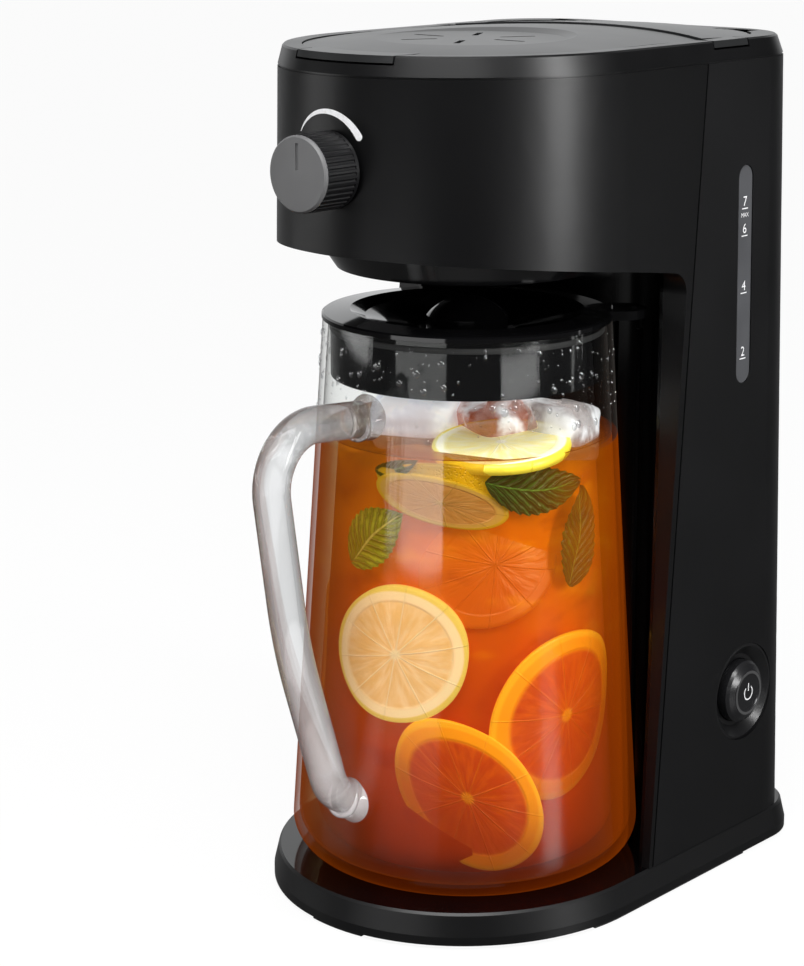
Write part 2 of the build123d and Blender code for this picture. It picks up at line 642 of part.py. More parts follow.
# ---------------------------------------------------------------- water circuit
def tank_plan(z0, z1, shrink=0.0):
    """Tank outline: follows the rear shell and the concave back of the recess."""
    body = hull(z0, z1, TANK_GAP + shrink)
    body = body & block(-SIDE_X, SIDE_X, TANK_FRONT_Y + shrink, BACK_Y, z0 - 1, z1 + 1)
    return body - drum_shape(z0 - 2, z1 + 2, RECESS_R + WALL + 1.2 + shrink)


def water_tank():
    """Open-topped tank, bottom outlet at the rear left."""
    body = tank_plan(TANK_LOW_Z, TANK_TOP_Z) - tank_plan(TANK_LOW_Z + TANK_WALL, TANK_TOP_Z + 5,
                                                         TANK_WALL)
    body = body + drum_shape(TANK_LOW_Z - 9, TANK_LOW_Z, TUBE_BORE, y=HEATER_Y, x=OUTLET_X)
    return one(body - drum_shape(TANK_LOW_Z - 10, TANK_LOW_Z + 5, 1.4, y=HEATER_Y, x=OUTLET_X))


OUTLET_X = HEAD_HALF - 15.5


def heater_block():
    """Die-cast flow-through heater: a sheathed element and a water tube side by side."""
    half = HEATER_HALF
    body = along_x(-half, half, HEATER_Y, HEATER_Z - 7, 5.5) + along_x(
        -half, half, HEATER_Y, HEATER_Z + 5, 6.5)
    body = body + block(-half, half, HEATER_Y - 4, HEATER_Y + 4, HEATER_Z - 7, HEATER_Z + 5)
    body = body + along_x(-half - 5.5, half + 5.5, HEATER_Y, HEATER_Z + 5, TUBE_BORE)
    body = body + along_x(-half - 5, half + 5, HEATER_Y, HEATER_Z - 7, 3.0)
    return one(body - along_x(-70, 70, HEATER_Y, HEATER_Z + 5, 1.6))


def heater_bracket():
    """Pressed saddle that carries the heater on the deck."""
    legs = []
    for s in (-1, 1):
        x = s * 26
        leg = block(x - 5, x + 5, HEATER_Y - 10, HEATER_Y + 10, DECK_Z, DECK_Z + 1.5)
        leg = leg + block(x - 5, x + 5, HEATER_Y - 5, HEATER_Y - 3.5, DECK_Z, HEATER_Z - 7)
        leg = leg + block(x - 5, x + 5, HEATER_Y + 3.5, HEATER_Y + 5, DECK_Z, HEATER_Z - 7)
        legs.append(one(leg - along_x(-70, 70, HEATER_Y, HEATER_Z - 7, 5.5)))
    return Compound(children=legs)


def thermostat():
    """Snap disc thermostat on top of the water tube."""
    z = HEATER_Z + 11.5
    body = drum_shape(z, z + 5, 8.0, y=HEATER_Y, x=-14) + drum_shape(z + 5, z + 9, 5.5, y=HEATER_Y,
                                                                     x=-14)
    for s in (-1, 1):
        body = body + block(-14 + s * 3 - 0.4, -14 + s * 3 + 0.4, HEATER_Y - 2, HEATER_Y + 2, z + 8,
                            z + 14)
    return one(body - along_x(-70, 70, HEATER_Y, HEATER_Z + 5, 6.5))


def thermal_fuse():
    """One-shot fuse in its sleeve along the element."""
    body = along_x(4, 24, HEATER_Y - 8.2, HEATER_Z - 4, 2.6)
    return body + along_x(0, 28, HEATER_Y - 8.2, HEATER_Z - 4, 0.9)


def fuse_clip():
    """Spring clip that holds the fuse to the casting."""
    body = block(11, 17, HEATER_Y - 11.6, HEATER_Y - 3.5, HEATER_Z - 8, HEATER_Z)
    body = body - along_x(0, 40, HEATER_Y - 8.2, HEATER_Z - 4, 2.65)
    body = body - along_x(0, 40, HEATER_Y, HEATER_Z - 7, 5.6)
    return one(body - block(0, 40, HEATER_Y - 4.1, HEATER_Y + 4, HEATER_Z - 7, HEATER_Z + 5))


def hose(points, radii):
    """Silicone hose along straight runs joined by tangent arcs."""
    path = FilletPolyline(*points, radius=radii)
    start = Plane(origin=path @ 0, z_dir=path % 0)
    outer = sweep(start * Circle(TUBE_R), path=path)
    inner = sweep(start * Circle(TUBE_BORE + 0.05), path=path)
    return outer - inner


def inlet_hose():
    """Tank outlet to the right end of the heater."""
    end = HEATER_HALF + 1.0
    return hose([(OUTLET_X, HEATER_Y, TANK_LOW_Z - 1), (OUTLET_X, HEATER_Y, HEATER_Z + 5),
                 (end, HEATER_Y, HEATER_Z + 5)], 8.0)


def check_valve():
    """Ball valve body in the inlet stub, inside the hose line."""
    z = TANK_LOW_Z - 65.0
    return drum_shape(z - 7, z + 7, TUBE_R + 3.0, y=HEATER_Y, x=OUTLET_X) - drum_shape(
        z - 8, z + 8, TUBE_R, y=HEATER_Y, x=OUTLET_X)


def riser_hose():
    """Left end of the heater up beside the recess to the spout."""
    end = -HEATER_HALF - 1.0
    return hose([(end, HEATER_Y, HEATER_Z + 5), (7.0 - RISER_X, HEATER_Y, HEATER_Z + 5),
                 (-RISER_X, TANK_FRONT_Y + 22, HEATER_Z + 38),
                 (-RISER_X, RISER_Y, TANK_LOW_Z - 64), (-RISER_X, RISER_Y, SPOUT_Z - 14)],
                [10.0, 16.0, 24.0])


def hose_clips():
    """Wire clips on both heater stubs, the outlet and the spout."""
    clips = []
    for s in (-1, 1):
        x = s * (HEATER_HALF + 3.5)
        clips.append(along_x(x - 1, x + 1, HEATER_Y, HEATER_Z + 5, TUBE_R + 1.0)
                     - along_x(x - 2, x + 2, HEATER_Y, HEATER_Z + 5, TUBE_R))
    clips.append(drum_shape(TANK_LOW_Z - 7, TANK_LOW_Z - 5, TUBE_R + 1, y=HEATER_Y, x=OUTLET_X)
                 - drum_shape(TANK_LOW_Z - 8, TANK_LOW_Z - 4, TUBE_R, y=HEATER_Y, x=OUTLET_X))
    return Compound(children=[c.solids()[0] for c in clips])


# ---------------------------------------------------------------- strength knob
KNOB_GAP = 1.0
KNOB_CAP = 1.6
FLUTES = 40
FLUTE_R = 0.8


def head_front(z):
    """Y of the head's front face at height z on the centre line."""
    return NOSE_Y - NOSE_DEPTH - grow_at(z, 0)


def strength_knob():
    """Fluted knob, hollow behind, on a D-flatted hub."""
    front = head_front(KNOB_Z) - KNOB_GAP - KNOB_LEN
    back = head_front(KNOB_Z) - KNOB_GAP
    body = along_y(front + KNOB_CAP, back, KNOB_Z, KNOB_R)
    for i in range(FLUTES):
        a = 2 * pi * i / FLUTES
        body = body - along_y(front - 1, back - 1.5, KNOB_Z + (KNOB_R + 0.3) * cos(a), FLUTE_R,
                              x=(KNOB_R + 0.3) * sin(a))
    body = body - along_y(front + KNOB_CAP + 2, back + 1, KNOB_Z, KNOB_R - 2.6)
    body = body + along_y(front + KNOB_CAP + 1, back - 1, KNOB_Z, SHAFT_R + 2.4)
    return one(body - along_y(front + KNOB_CAP + 3, back + 2, KNOB_Z, SHAFT_R))


def knob_cap():
    """Satin face plate with the pointer groove."""
    front = head_front(KNOB_Z) - KNOB_GAP - KNOB_LEN
    body = along_y(front, front + KNOB_CAP, KNOB_Z, KNOB_R - 0.3)
    body = chamfer(body.edges().filter_by(GeomType.CIRCLE).sort_by(Axis.Y)[0], 0.7)
    return body - block(-0.7, 0.7, front - 1, front + 0.6, KNOB_Z + 1.5, KNOB_Z + KNOB_R - 3.2)


def knob_shaft():
    front = head_front(KNOB_Z) - KNOB_GAP - KNOB_LEN
    return along_y(front + KNOB_CAP + 3, SELECTOR_Y + 1.6, KNOB_Z, SHAFT_R)


SELECTOR_Y = JUG_Y - DRUM_R - 4.6


def selector_disc():
    """Shutter on the shaft: its sector opens the way past the basket."""
    disc = along_y(SELECTOR_Y, SELECTOR_Y + 1.6, KNOB_Z, 11.0)
    sector = block(2.5, 9, SELECTOR_Y - 1, SELECTOR_Y + 3, KNOB_Z - 7.5, KNOB_Z - 2)
    return one(disc - along_y(SELECTOR_Y - 1, SELECTOR_Y + 3, KNOB_Z, SHAFT_R) - sector)


def selector_seat():
    """Flanged seat on the drum that the shutter turns against."""
    body = along_y(SELECTOR_Y + 1.8, JUG_Y, KNOB_Z, 12.0)
    body = body - drum_shape(KNOB_Z - 20, KNOB_Z + 20, DRUM_R + 0.02)
    cup = along_y(SELECTOR_Y - 1.4, SELECTOR_Y + 3, KNOB_Z, 12.6) - along_y(
        SELECTOR_Y - 2, SELECTOR_Y + 1.8, KNOB_Z, 11.4)
    return one(body + cup)


# ---------------------------------------------------------------- power switch
def side_x(z):
    """X of the +X side wall at height z."""
    return HEAD_HALF + grow_at(z, 0)


BEZEL_DEPTH = 5.0


def switch_bezel():
    """Dished ring let into the side wall."""
    x = side_x(BUTTON_Z)
    sketch = make_face(Polyline(
        (BUTTON_R + 0.35, -BEZEL_DEPTH - 1.5), (BEZEL_R + 1.6, -BEZEL_DEPTH - 1.5),
        (BEZEL_R + 1.6, -WALL - 1.5), (BEZEL_R, -WALL - 1.5), (BEZEL_R, -0.6),
        (BEZEL_R - 1.2, -0.4), (BUTTON_R + 2.2, -BEZEL_DEPTH + 0.8),
        (BUTTON_R + 0.35, -BEZEL_DEPTH + 0.8), close=True))
    ring = revolve(Plane.XZ * sketch, Axis.Z)
    return Pos(x, BUTTON_Y, BUTTON_Z) * Rot(0, 90, 0) * ring


def button_face():
    """X of the button's flat face; it stands proud of the wall."""
    return side_x(BUTTON_Z) + BUTTON_PROUD


def power_button():
    """Domed push button with a groove for the light ring."""
    x = button_face()
    dome = make_face(Polyline(
        (0, 0), (RING_OUT + 0.4, 0), (BUTTON_R - 1.2, -1.3), (BUTTON_R, -2.4), (BUTTON_R, -8.6),
        (BUTTON_R - 2, -8.6), (BUTTON_R - 2, -3.2), (3.4, -2.4), (3.4, -9.0), (0, -9.0), close=True))
    body = Pos(x, BUTTON_Y, BUTTON_Z) * Rot(0, 90, 0) * revolve(Plane.XZ * dome, Axis.Z)
    groove = along_x(x - 1.0, x + 1, BUTTON_Y, BUTTON_Z, RING_OUT) - along_x(
        x - 2, x + 2, BUTTON_Y, BUTTON_Z, RING_IN)
    stem = along_x(x - 14.5, x - 8, BUTTON_Y, BUTTON_Z, 2.4)
    return one((body - groove) + stem)


BUTTON_PROUD = 2.2
RING_OUT = 9.4
RING_IN = 8.2


def button_ring():
    """Bright ring set in the groove."""
    x = button_face()
    return one(along_x(x - 1.0, x + 0.25, BUTTON_Y, BUTTON_Z, RING_OUT) - along_x(
        x - 2, x + 2, BUTTON_Y, BUTTON_Z, RING_IN))


def switch_front():
    """X of the front of the switch body, behind the button."""
    return button_face() - 2.9 - SPRING_LEN


def button_spring():
    """Return spring round the stem, between the button and the switch."""
    coil = Helix(pitch=(SPRING_LEN - 1.1) / 5, height=SPRING_LEN - 1.1, radius=5.2)
    wire = sweep(Plane(origin=coil @ 0, z_dir=coil % 0) * Circle(0.45), path=coil)
    return Pos(switch_front() + 0.5, BUTTON_Y, BUTTON_Z) * Rot(0, 90, 0) * wire


SPRING_LEN = 9.6


def power_switch():
    """Latching switch body with its terminals."""
    x = switch_front()
    body = block(x - 16, x, BUTTON_Y - 11, BUTTON_Y + 11, BUTTON_Z - 9, BUTTON_Z + 9)
    body = body - along_x(x - 8, x + 1, BUTTON_Y, BUTTON_Z, 2.9)
    for s in (-1, 1):
        body = body + block(x - 23, x - 16, BUTTON_Y + 5 * s - 0.4, BUTTON_Y + 5 * s + 0.4,
                            BUTTON_Z - 2.4, BUTTON_Z + 2.4)
    return one(body)


def switch_carrier():
    """Cage that joins the switch to the back of the bezel."""
    x = side_x(BUTTON_Z) - BEZEL_DEPTH - 1.5
    back = switch_front() - 8
    body = block(back, x, BUTTON_Y - 16, BUTTON_Y + 16, BUTTON_Z - 12, BUTTON_Z + 12)
    body = body - along_x(back + 8, x + 1, BUTTON_Y, BUTTON_Z, BUTTON_R + 0.6)
    return one(body - block(back - 1, back + 9, BUTTON_Y - 11, BUTTON_Y + 11, BUTTON_Z - 9,
                            BUTTON_Z + 9))


# ---------------------------------------------------------------- jug
SKIRT_LOW_Z = JUG_RIM_Z - 22.9
FLANGE_R = JUG_RIM_R + 0.4
FLANGE_T = 2.2
FUNNEL_R = JUG_RIM_R - 10.9
DOME_R = 16.4
DOME_TOP_Z = JUG_RIM_Z + 8.4
TAB_TURN = 40.0


def jug_outer():
    """Outside of the glass: foot, rolled heel, straight cone up to the rim."""
    foot_z = DECK_Z + SEAT
    profile = make_face([
        Line((0, foot_z), (JUG_FOOT_R, foot_z)),
        ThreePointArc((JUG_FOOT_R, foot_z), (JUG_WIDE_R - 3.0, foot_z + 4.6),
                      (JUG_WIDE_R, JUG_WIDE_Z)),
        Line((JUG_WIDE_R, JUG_WIDE_Z), (JUG_RIM_R, JUG_RIM_Z)),
        Line((JUG_RIM_R, JUG_RIM_Z), (0, JUG_RIM_Z)),
        Line((0, JUG_RIM_Z), (0, foot_z)),
    ])
    return Pos(0, JUG_Y, 0) * revolve(Plane.XZ * profile, Axis.Z)


def jug_glass():
    """Thin-walled cone with a thick foot."""
    t = GLASS
    floor = DECK_Z + SEAT + 4.0
    profile = make_face([
        Line((0, floor), (JUG_FOOT_R - 3, floor)),
        ThreePointArc((JUG_FOOT_R - 3, floor), (JUG_WIDE_R - t - 3.0, floor + 4.0),
                      (JUG_WIDE_R - t, JUG_WIDE_Z + 2)),
        Line((JUG_WIDE_R - t, JUG_WIDE_Z + 2), (JUG_RIM_R - t, JUG_RIM_Z)),
        Line((JUG_RIM_R - t, JUG_RIM_Z), (JUG_RIM_R - t, JUG_RIM_Z + 2)),
        Line((JUG_RIM_R - t, JUG_RIM_Z + 2), (0, JUG_RIM_Z + 2)),
        Line((0, JUG_RIM_Z + 2), (0, floor)),
    ])
    inner = Pos(0, JUG_Y, 0) * revolve(Plane.XZ * profile, Axis.Z)
    return one(jug_outer() - inner)


def jug_handle():
    """Round glass rod, fused to the jug at both ends."""
    outer = HANDLE_R - HANDLE_REACH
    top = JUG_RIM_Z - 32.6
    wall = JUG_Y - JUG_RIM_R
    points = [(0, wall + 5.9, top), (0, wall - 8.1, top + 1.5), (0, outer - 3.2, top + 6.0),
              (0, outer + 11.0, 0.6 * top), (0, outer + 33.0, DECK_Z + 43.0),
              (0, JUG_Y - JUG_FOOT_R, DECK_Z + 35.0)]
    path = FilletPolyline(*points, radius=[30.0, 22.0, 220.0, 15.0])
    rod = sweep(Plane(origin=path @ 0, z_dir=path % 0) * Circle(HANDLE_R), path=path)
    joints = ((wall - 3.1, top + 0.8, 4.0), (JUG_Y - JUG_WIDE_R + 1.7, DECK_Z + 37.5, -18.0))
    for y, z, lean in joints:
        here = Pos(0, y, z) * Rot(90 + lean, 0, 0)
        rod = rod + here * Cone(HANDLE_R + 3.0, HANDLE_R - 0.2, 9.0)
        rod = rod + here * Pos(0, 0, 5.5) * Torus(HANDLE_R - 0.6, 1.3)
    return one(rod - jug_outer())


LID_T = 1.8
LID_Z = JUG_RIM_Z + 0.3   # the flange rests on the jug's rim
SKIRT_R = JUG_RIM_R - GLASS - 0.7
DRIP_SLOTS = 8


def lid_section(top, low, points):
    """Solid from a (radius, z) section under a ball-shaped dome."""
    rim = points[-1]
    rise = top - rim[1]
    ball = (rim[0] ** 2 + rise ** 2) / (2 * rise)
    half = asin(rim[0] / ball) / 2
    middle = (ball * sin(half), top - ball + ball * cos(half))
    lines = [Line(a, b) for a, b in zip([(0, low)] + points, points)]
    face = make_face(lines + [ThreePointArc(rim, middle, (0, top)), Line((0, top), (0, low))])
    return Pos(0, JUG_Y, 0) * revolve(Plane.XZ * face, Axis.Z)


def jug_lid():
    """Funnel lid: flange, skirt, sloping pan, centre dome, drip slots and a thumb tab."""
    z, t = LID_Z, LID_T
    body = lid_section(DOME_TOP_Z, SKIRT_LOW_Z, [
        (SKIRT_R, SKIRT_LOW_Z), (SKIRT_R, z), (FLANGE_R, z), (FLANGE_R, z + FLANGE_T - 0.6),
        (FLANGE_R - 0.8, z + FLANGE_T), (FUNNEL_R, z + FLANGE_T + 1.0), (FUNNEL_R - 6, z + 0.5),
        (DOME_R + 3, z - 4.5), (DOME_R, z - 4.5), (DOME_R, z + 0.5)])
    body = body - lid_section(DOME_TOP_Z - t, SKIRT_LOW_Z - 1, [
        (SKIRT_R - t, SKIRT_LOW_Z - 1), (SKIRT_R - t, z - t), (FUNNEL_R - 6, z + 0.5 - t),
        (DOME_R + 3, z - 4.5 - t), (DOME_R - t, z - 4.5 - t), (DOME_R - t, z + 0.5)])
    for i in range(DRIP_SLOTS):
        slot = Rot(0, 0, 360 / DRIP_SLOTS * i + 20) * Pos(DOME_R + 9.6, 0, 0) * extrude(
            Pos(0, 0, z - 12) * SlotOverall(9, 2.6), amount=12)
        body = body - Pos(0, JUG_Y, 0) * slot
    tab = extrude(Pos(JUG_RIM_R + 1.6, 0, z) * SlotOverall(24, 20), amount=3.6)
    tab = tab - extrude(Pos(JUG_RIM_R + 4.1, 0, z + 2.6) * SlotOverall(13, 9), amount=4)
    tab = tab - Pos(0, 0, z) * Cylinder(FUNNEL_R + 1, 20)
    body = body + Pos(0, JUG_Y, 0) * Rot(0, 0, TAB_TURN) * tab
    groove = turned([(SKIRT_R - 0.9, z - 5.0), (SKIRT_R + 1, z - 5.0), (SKIRT_R + 1, z - 2.6),
                     (SKIRT_R - 0.9, z - 2.6)])
    return one(body - groove)


def jug_lid_seal():
    """Silicone ring in the skirt's groove."""
    z, r = LID_Z, SKIRT_R
    return turned([(r - 0.9, z - 4.9), (r + 0.25, z - 4.9), (r + 0.45, z - 3.8), (r + 0.25, z - 2.7),
                   (r - 0.9, z - 2.7)])


# ---------------------------------------------------------------- all the pieces
NODES = [
    base_tray, base_cover, base_screws, base_pads, front_housing, rear_shell, cord_gland,
    level_window, window_gasket, top_frame, brew_lid, brew_lid_pins, tank_lid, tank_lid_pins,
    brew_drum, brew_basket, filter_frame, filter_mesh, water_spout, water_tank, heater_block,
    heater_bracket, thermostat, thermal_fuse, fuse_clip, inlet_hose, check_valve, riser_hose,
    hose_clips, strength_knob, knob_cap, knob_shaft, selector_disc, selector_seat, switch_bezel,
    power_button, button_ring, button_spring, power_switch, switch_carrier, jug_glass,
    jug_handle, jug_lid, jug_lid_seal,
]

for maker in NODES:
    save(maker(), maker.__name__)
print(len(NODES), "pieces")
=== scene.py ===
# %% [markdown]
# # Iced tea maker
# This lesson dresses a finished CAD model for its photograph. The model arrives as a fixed
# frame: every part already has its place, in metres, with the table at z = 0. We give each
# part a finish, and add what CAD doesn't hold: the drink with its fruit, ice and mint, the
# drops on the glass, and the small prints. Nothing is measured twice, because each piece
# asks the frame where the part that carries it is.

# %% the frame
import random
from math import cos, degrees, pi, radians, sin

import bpy
from mathutils import Matrix, Vector
from mathutils.bvhtree import BVHTree


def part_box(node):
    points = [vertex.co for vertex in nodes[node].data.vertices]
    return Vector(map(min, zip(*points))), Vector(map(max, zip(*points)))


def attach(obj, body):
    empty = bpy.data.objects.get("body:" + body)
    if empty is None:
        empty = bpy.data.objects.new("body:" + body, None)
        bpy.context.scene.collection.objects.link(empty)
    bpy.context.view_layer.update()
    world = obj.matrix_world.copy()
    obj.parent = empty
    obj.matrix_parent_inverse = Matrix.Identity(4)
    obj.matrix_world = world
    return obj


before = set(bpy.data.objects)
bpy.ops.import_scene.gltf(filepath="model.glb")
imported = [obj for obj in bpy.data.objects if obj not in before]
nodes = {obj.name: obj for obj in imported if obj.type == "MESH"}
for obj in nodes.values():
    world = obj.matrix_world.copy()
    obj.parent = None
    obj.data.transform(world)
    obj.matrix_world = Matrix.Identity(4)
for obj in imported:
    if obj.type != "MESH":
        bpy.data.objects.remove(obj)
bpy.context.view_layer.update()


def middle(part):
    """The middle of a part's box."""
    low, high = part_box(part)
    return [(a + b) / 2 for a, b in zip(low, high)]


# %% [markdown]
# ## The camera
# A photograph fixes the camera more tightly than taste does. Straight lines of the machine
# were measured and the camera solved from them: a long lens from a little over a metre,
# looking down by twelve degrees from the right of the front. The small vertical shift keeps
# the uprights nearly upright, as a photographer does for a product.

# %% camera
CAMERA_TURN = radians(41.47)
CAMERA_DIP = radians(11.84)
lens = bpy.data.cameras.new("photo_camera")
lens.lens = 92.94
lens.shift_y = -0.120


def new_object(name, data):
    """An object in the scene that holds the data."""
    thing = bpy.data.objects.new(name, data)
    bpy.context.scene.collection.objects.link(thing)
    return thing


camera = new_object("photo_camera", lens)
camera.location = (0.6303, -0.76225, 0.4204)
camera.rotation_euler = (pi / 2 - CAMERA_DIP, 0, CAMERA_TURN)
bpy.context.scene.camera = camera
bpy.context.scene.view_settings.view_transform = "Standard"
print("camera turned", round(degrees(CAMERA_TURN), 1), "degrees")

# %% [markdown]
# ## Sums with sockets
# A finish is a small calculation that Blender does at each point of a surface. Joined up by
# hand it turns into a web of nodes. Here one small class wraps a node's output and takes
# part in sums like a number, so `1 - mask` adds the Math node that it needs.

# %% wires
def operators(operation):
    """An operator for wires and its reflected form, so for mask - 1 and for 1 - mask."""
    def straight(wire, other):
        return wire.graph.sum(operation, wire, other)

    def reflected(wire, other):
        return wire.graph.sum(operation, other, wire)

    return straight, reflected


class Wire:
    """A node's output that can stand in a sum."""

    __add__, __radd__ = operators("ADD")
    __sub__, __rsub__ = operators("SUBTRACT")
    __mul__, __rmul__ = operators("MULTIPLY")
    __truediv__, __rtruediv__ = operators("DIVIDE")
    __pow__, __rpow__ = operators("POWER")

    def __init__(self, graph, socket):
        self.graph = graph
        self.socket = socket

    def __neg__(self):
        return self * -1.0

    def __abs__(self):
        return self.graph.sum("ABSOLUTE", self)


print("wires take +, -, *, / and **")

# %% [markdown]
# ## Graphs
# Any other node comes from one method: its type, then its settings, then what goes into its
# sockets, which may be numbers, colours or wires. The short methods below it are the few
# things that nearly every finish asks for: a place on the object, some noise, a soft step,
# a mix of two colours or two shaders, and a bump.

# %% graphs
class Graph:
    """The nodes of one finish, or of the world."""

    def __init__(self, owner):
        owner.use_nodes = True
        self.tree = owner.node_tree
        self.tree.nodes.clear()

    def add(self, kind, settings=None, sockets=None, out=0):
        node = self.tree.nodes.new("ShaderNode" + kind)
        for name, value in (settings or {}).items():
            if name == "stops":
                self.set_stops(node.color_ramp, value)
            else:
                setattr(node, name, value)
        for name, value in (sockets or {}).items():
            self.feed(node.inputs[name], value)
        return Wire(self, node.outputs[out])

    def feed(self, socket, value):
        if isinstance(value, Wire):
            self.tree.links.new(value.socket, socket)
        elif socket.type == "RGBA" and len(value) == 3:
            socket.default_value = (*value, 1.0)
        else:
            socket.default_value = value

    def set_stops(self, ramp, stops):
        while len(ramp.elements) < len(stops):
            ramp.elements.new(0.5)
        for element, (place, tint) in zip(ramp.elements, stops):
            element.position = place
            element.color = (*tint, 1.0)

    def sum(self, operation, *terms):
        return self.add("Math", {"operation": operation}, dict(enumerate(terms)))

    def place(self):
        """Where on the object we are, in metres, as a vector."""
        return self.add("TexCoord", out="Object")

    def split(self, vector):
        node = self.add("SeparateXYZ", sockets={0: vector}).socket.node
        return [Wire(self, output) for output in node.outputs]

    def noise(self, scale, detail=2.0, stretch=(1.0, 1.0, 1.0), place=None):
        spot = place or self.place()
        spot = self.add("VectorMath", {"operation": "MULTIPLY"}, {0: spot, 1: stretch})
        return self.add("TexNoise", sockets={"Vector": spot, "Scale": scale, "Detail": detail})

    def step(self, wire, low, high):
        """0 below low, 1 above high, and soft between."""
        ends = {"Value": wire, "From Min": low, "From Max": high}
        return self.add("MapRange", {"interpolation_type": "SMOOTHSTEP"}, ends)

    def mix(self, first, second, share):
        return self.add("Mix", {"data_type": "RGBA"}, {0: share, 6: first, 7: second}, out=2)

    def blend(self, share, first, second):
        """The first shader where share is 0, the second where it is 1."""
        return self.add("MixShader", sockets={0: share, 1: first, 2: second})

    def clear(self, tint):
        return self.add("BsdfTransparent", sockets={"Color": tint})

    def solid(self, tint, rough, relief=None, **more):
        """A plain surface. More of its sockets come by name, with _ for each space."""
        sockets = {"Base Color": tint, "Roughness": rough}
        sockets.update((name.replace("_", " "), value) for name, value in more.items())
        if relief:
            sockets["Normal"] = relief
        return self.add("BsdfPrincipled", sockets=sockets)

    def glowing(self, tint, rough, glow, relief=None, gloss=0.5):
        """A surface that shows its colour by the lamps and by a painted glow of its own, though it
        is no lamp.
        """
        return self.solid(tint, rough, relief, Specular_IOR_Level=gloss, Emission_Color=tint,
                          Emission_Strength=glow)

    def bump(self, height, depth):
        return self.add("Bump", sockets={"Height": height, "Distance": depth})

    def facing(self):
        """0 where we look straight at the surface, 1 where we look along it."""
        return self.add("LayerWeight", out="Facing")

    def show(self, shader, output="OutputMaterial"):
        end = self.tree.nodes.new("ShaderNode" + output)
        self.tree.links.new(shader.socket, end.inputs["Surface"])


def finish(draw):
    """Makes a function that draws a surface into one that makes the material of a name."""
    def make(name, *terms, **more):
        material = bpy.data.materials.new(name)
        graph = Graph(material)
        graph.show(draw(graph, *terms, **more))
        return material

    return make


def paint(red, green, blue):
    """A colour as a screen shows it, 0 to 255, in the linear light of a shader."""
    return tuple(((c / 255 + 0.055) / 1.055) ** 2.4 if c > 10 else c / 255 / 12.92
                 for c in (red, green, blue))


def shaded(tint, factor):
    return tuple(c * factor for c in tint)


WHITE = (1.0, 1.0, 1.0)
print("middle grey in linear light:", round(paint(128, 128, 128)[0], 3))

# %% [markdown]
# ## The studio
# The photograph was taken in front of white paper, which glows behind the machine and is
# seen again in everything glossy. So the camera sees plain white, and every other ray sees a
# soft room: bright behind the machine and above it, dim on the camera's side. Black plastic
# shows its shape only by what it mirrors, so this room matters more than any lamp.

# %% world
world = bpy.data.worlds.new("studio")
bpy.context.scene.world = world
room = Graph(world)
BEHIND = Vector((-sin(CAMERA_TURN), cos(CAMERA_TURN), 0.0))
aim = room.add("TexCoord", out="Generated")
along = {0: aim, 1: BEHIND}
backwards = room.add("VectorMath", {"operation": "DOT_PRODUCT"}, along, out="Value")
upwards = room.split(aim)[2]
bearing = backwards / (1.0001 - upwards ** 2) ** 0.5
paper_share = room.step(bearing, 0.55, 0.98) * (1 - room.step(upwards, 0.40, 0.75))
glow = 0.035 + 0.95 * paper_share + 0.16 * room.step(upwards, 0.25, 0.9)
soft_room = room.add("Background", sockets={"Color": (0.98, 0.99, 1.0), "Strength": glow})
paper = room.add("Background", sockets={"Color": WHITE})
seen = room.add("LightPath", out="Is Camera Ray")
through = room.add("LightPath", out="Is Transmission Ray")
white_share = room.sum("MAXIMUM", seen, through * 0.9)
room.show(room.blend(white_share, soft_room, paper), "OutputWorld")
print("the paper lies towards", [round(v, 2) for v in BEHIND])

# %% [markdown]
# ## Softboxes
# Each lamp is placed by the highlight that it draws, and most of them stand at a height
# that one surface mirrors and the others miss. The tall one on the right draws the broad
# upright highlight down the head. The narrow one further round draws a thin line down the
# right of the glass, and the low one on the left the pale band over the fruit. The two flat
# bands are seen only over the skirt of the jug's lid, and the far one behind on the left
# gives the base an edge. The large one overhead lights the rest.

# %% lamps
def area_lamp(name, width, height, power, place, rotation):
    lamp = bpy.data.lights.new(name, "AREA")
    lamp.shape = "RECTANGLE"
    lamp.size, lamp.size_y = width, height
    lamp.energy = power
    box = new_object(name, lamp)
    box.location, box.rotation_euler = place, rotation
    box.visible_camera = False


def softbox(name, turn, distance, low, high, width, power):
    """An upright lamp between two heights, turned round the machine and facing it."""
    place = (distance * cos(radians(turn)), distance * sin(radians(turn)), (low + high) / 2)
    area_lamp(name, width, high - low, power, place, (pi / 2, 0, radians(turn + 90)))


softbox("lamp_right", 8, 0.95, 0.17, 0.85, 0.20, 8.0)
softbox("lamp_line", 45, 0.90, 0.02, 0.30, 0.02, 0.06)
softbox("lamp_low_left", -88, 0.80, 0.022, 0.12, 0.62, 0.60)
softbox("lamp_band_left", -150, 0.80, 0.135, 0.170, 0.60, 0.22)
softbox("lamp_band_right", -10, 0.80, 0.135, 0.170, 0.42, 0.14)
softbox("lamp_far_left", -140, 1.00, 0.20, 0.45, 0.50, 0.9)
OVERHEAD = Vector((0.40, -0.62, 1.25))
downwards = (Vector((0, 0, 0.17)) - OVERHEAD).to_track_quat("-Z", "Y").to_euler()
area_lamp("lamp_top", 1.1, 1.0, 27.0, OVERHEAD, downwards)
print("lamps:", [lamp.name for lamp in bpy.data.lights])

# %% [markdown]
# ## The floor
# The floor is paper with a little gloss. The camera, and what looks through the glass, see
# it almost as a light of its own, so it stays white; a small share is left to real shading,
# which keeps the shadow at the machine's foot. To everything else it is nearly black,
# because black plastic that is seen from above mirrors the floor.

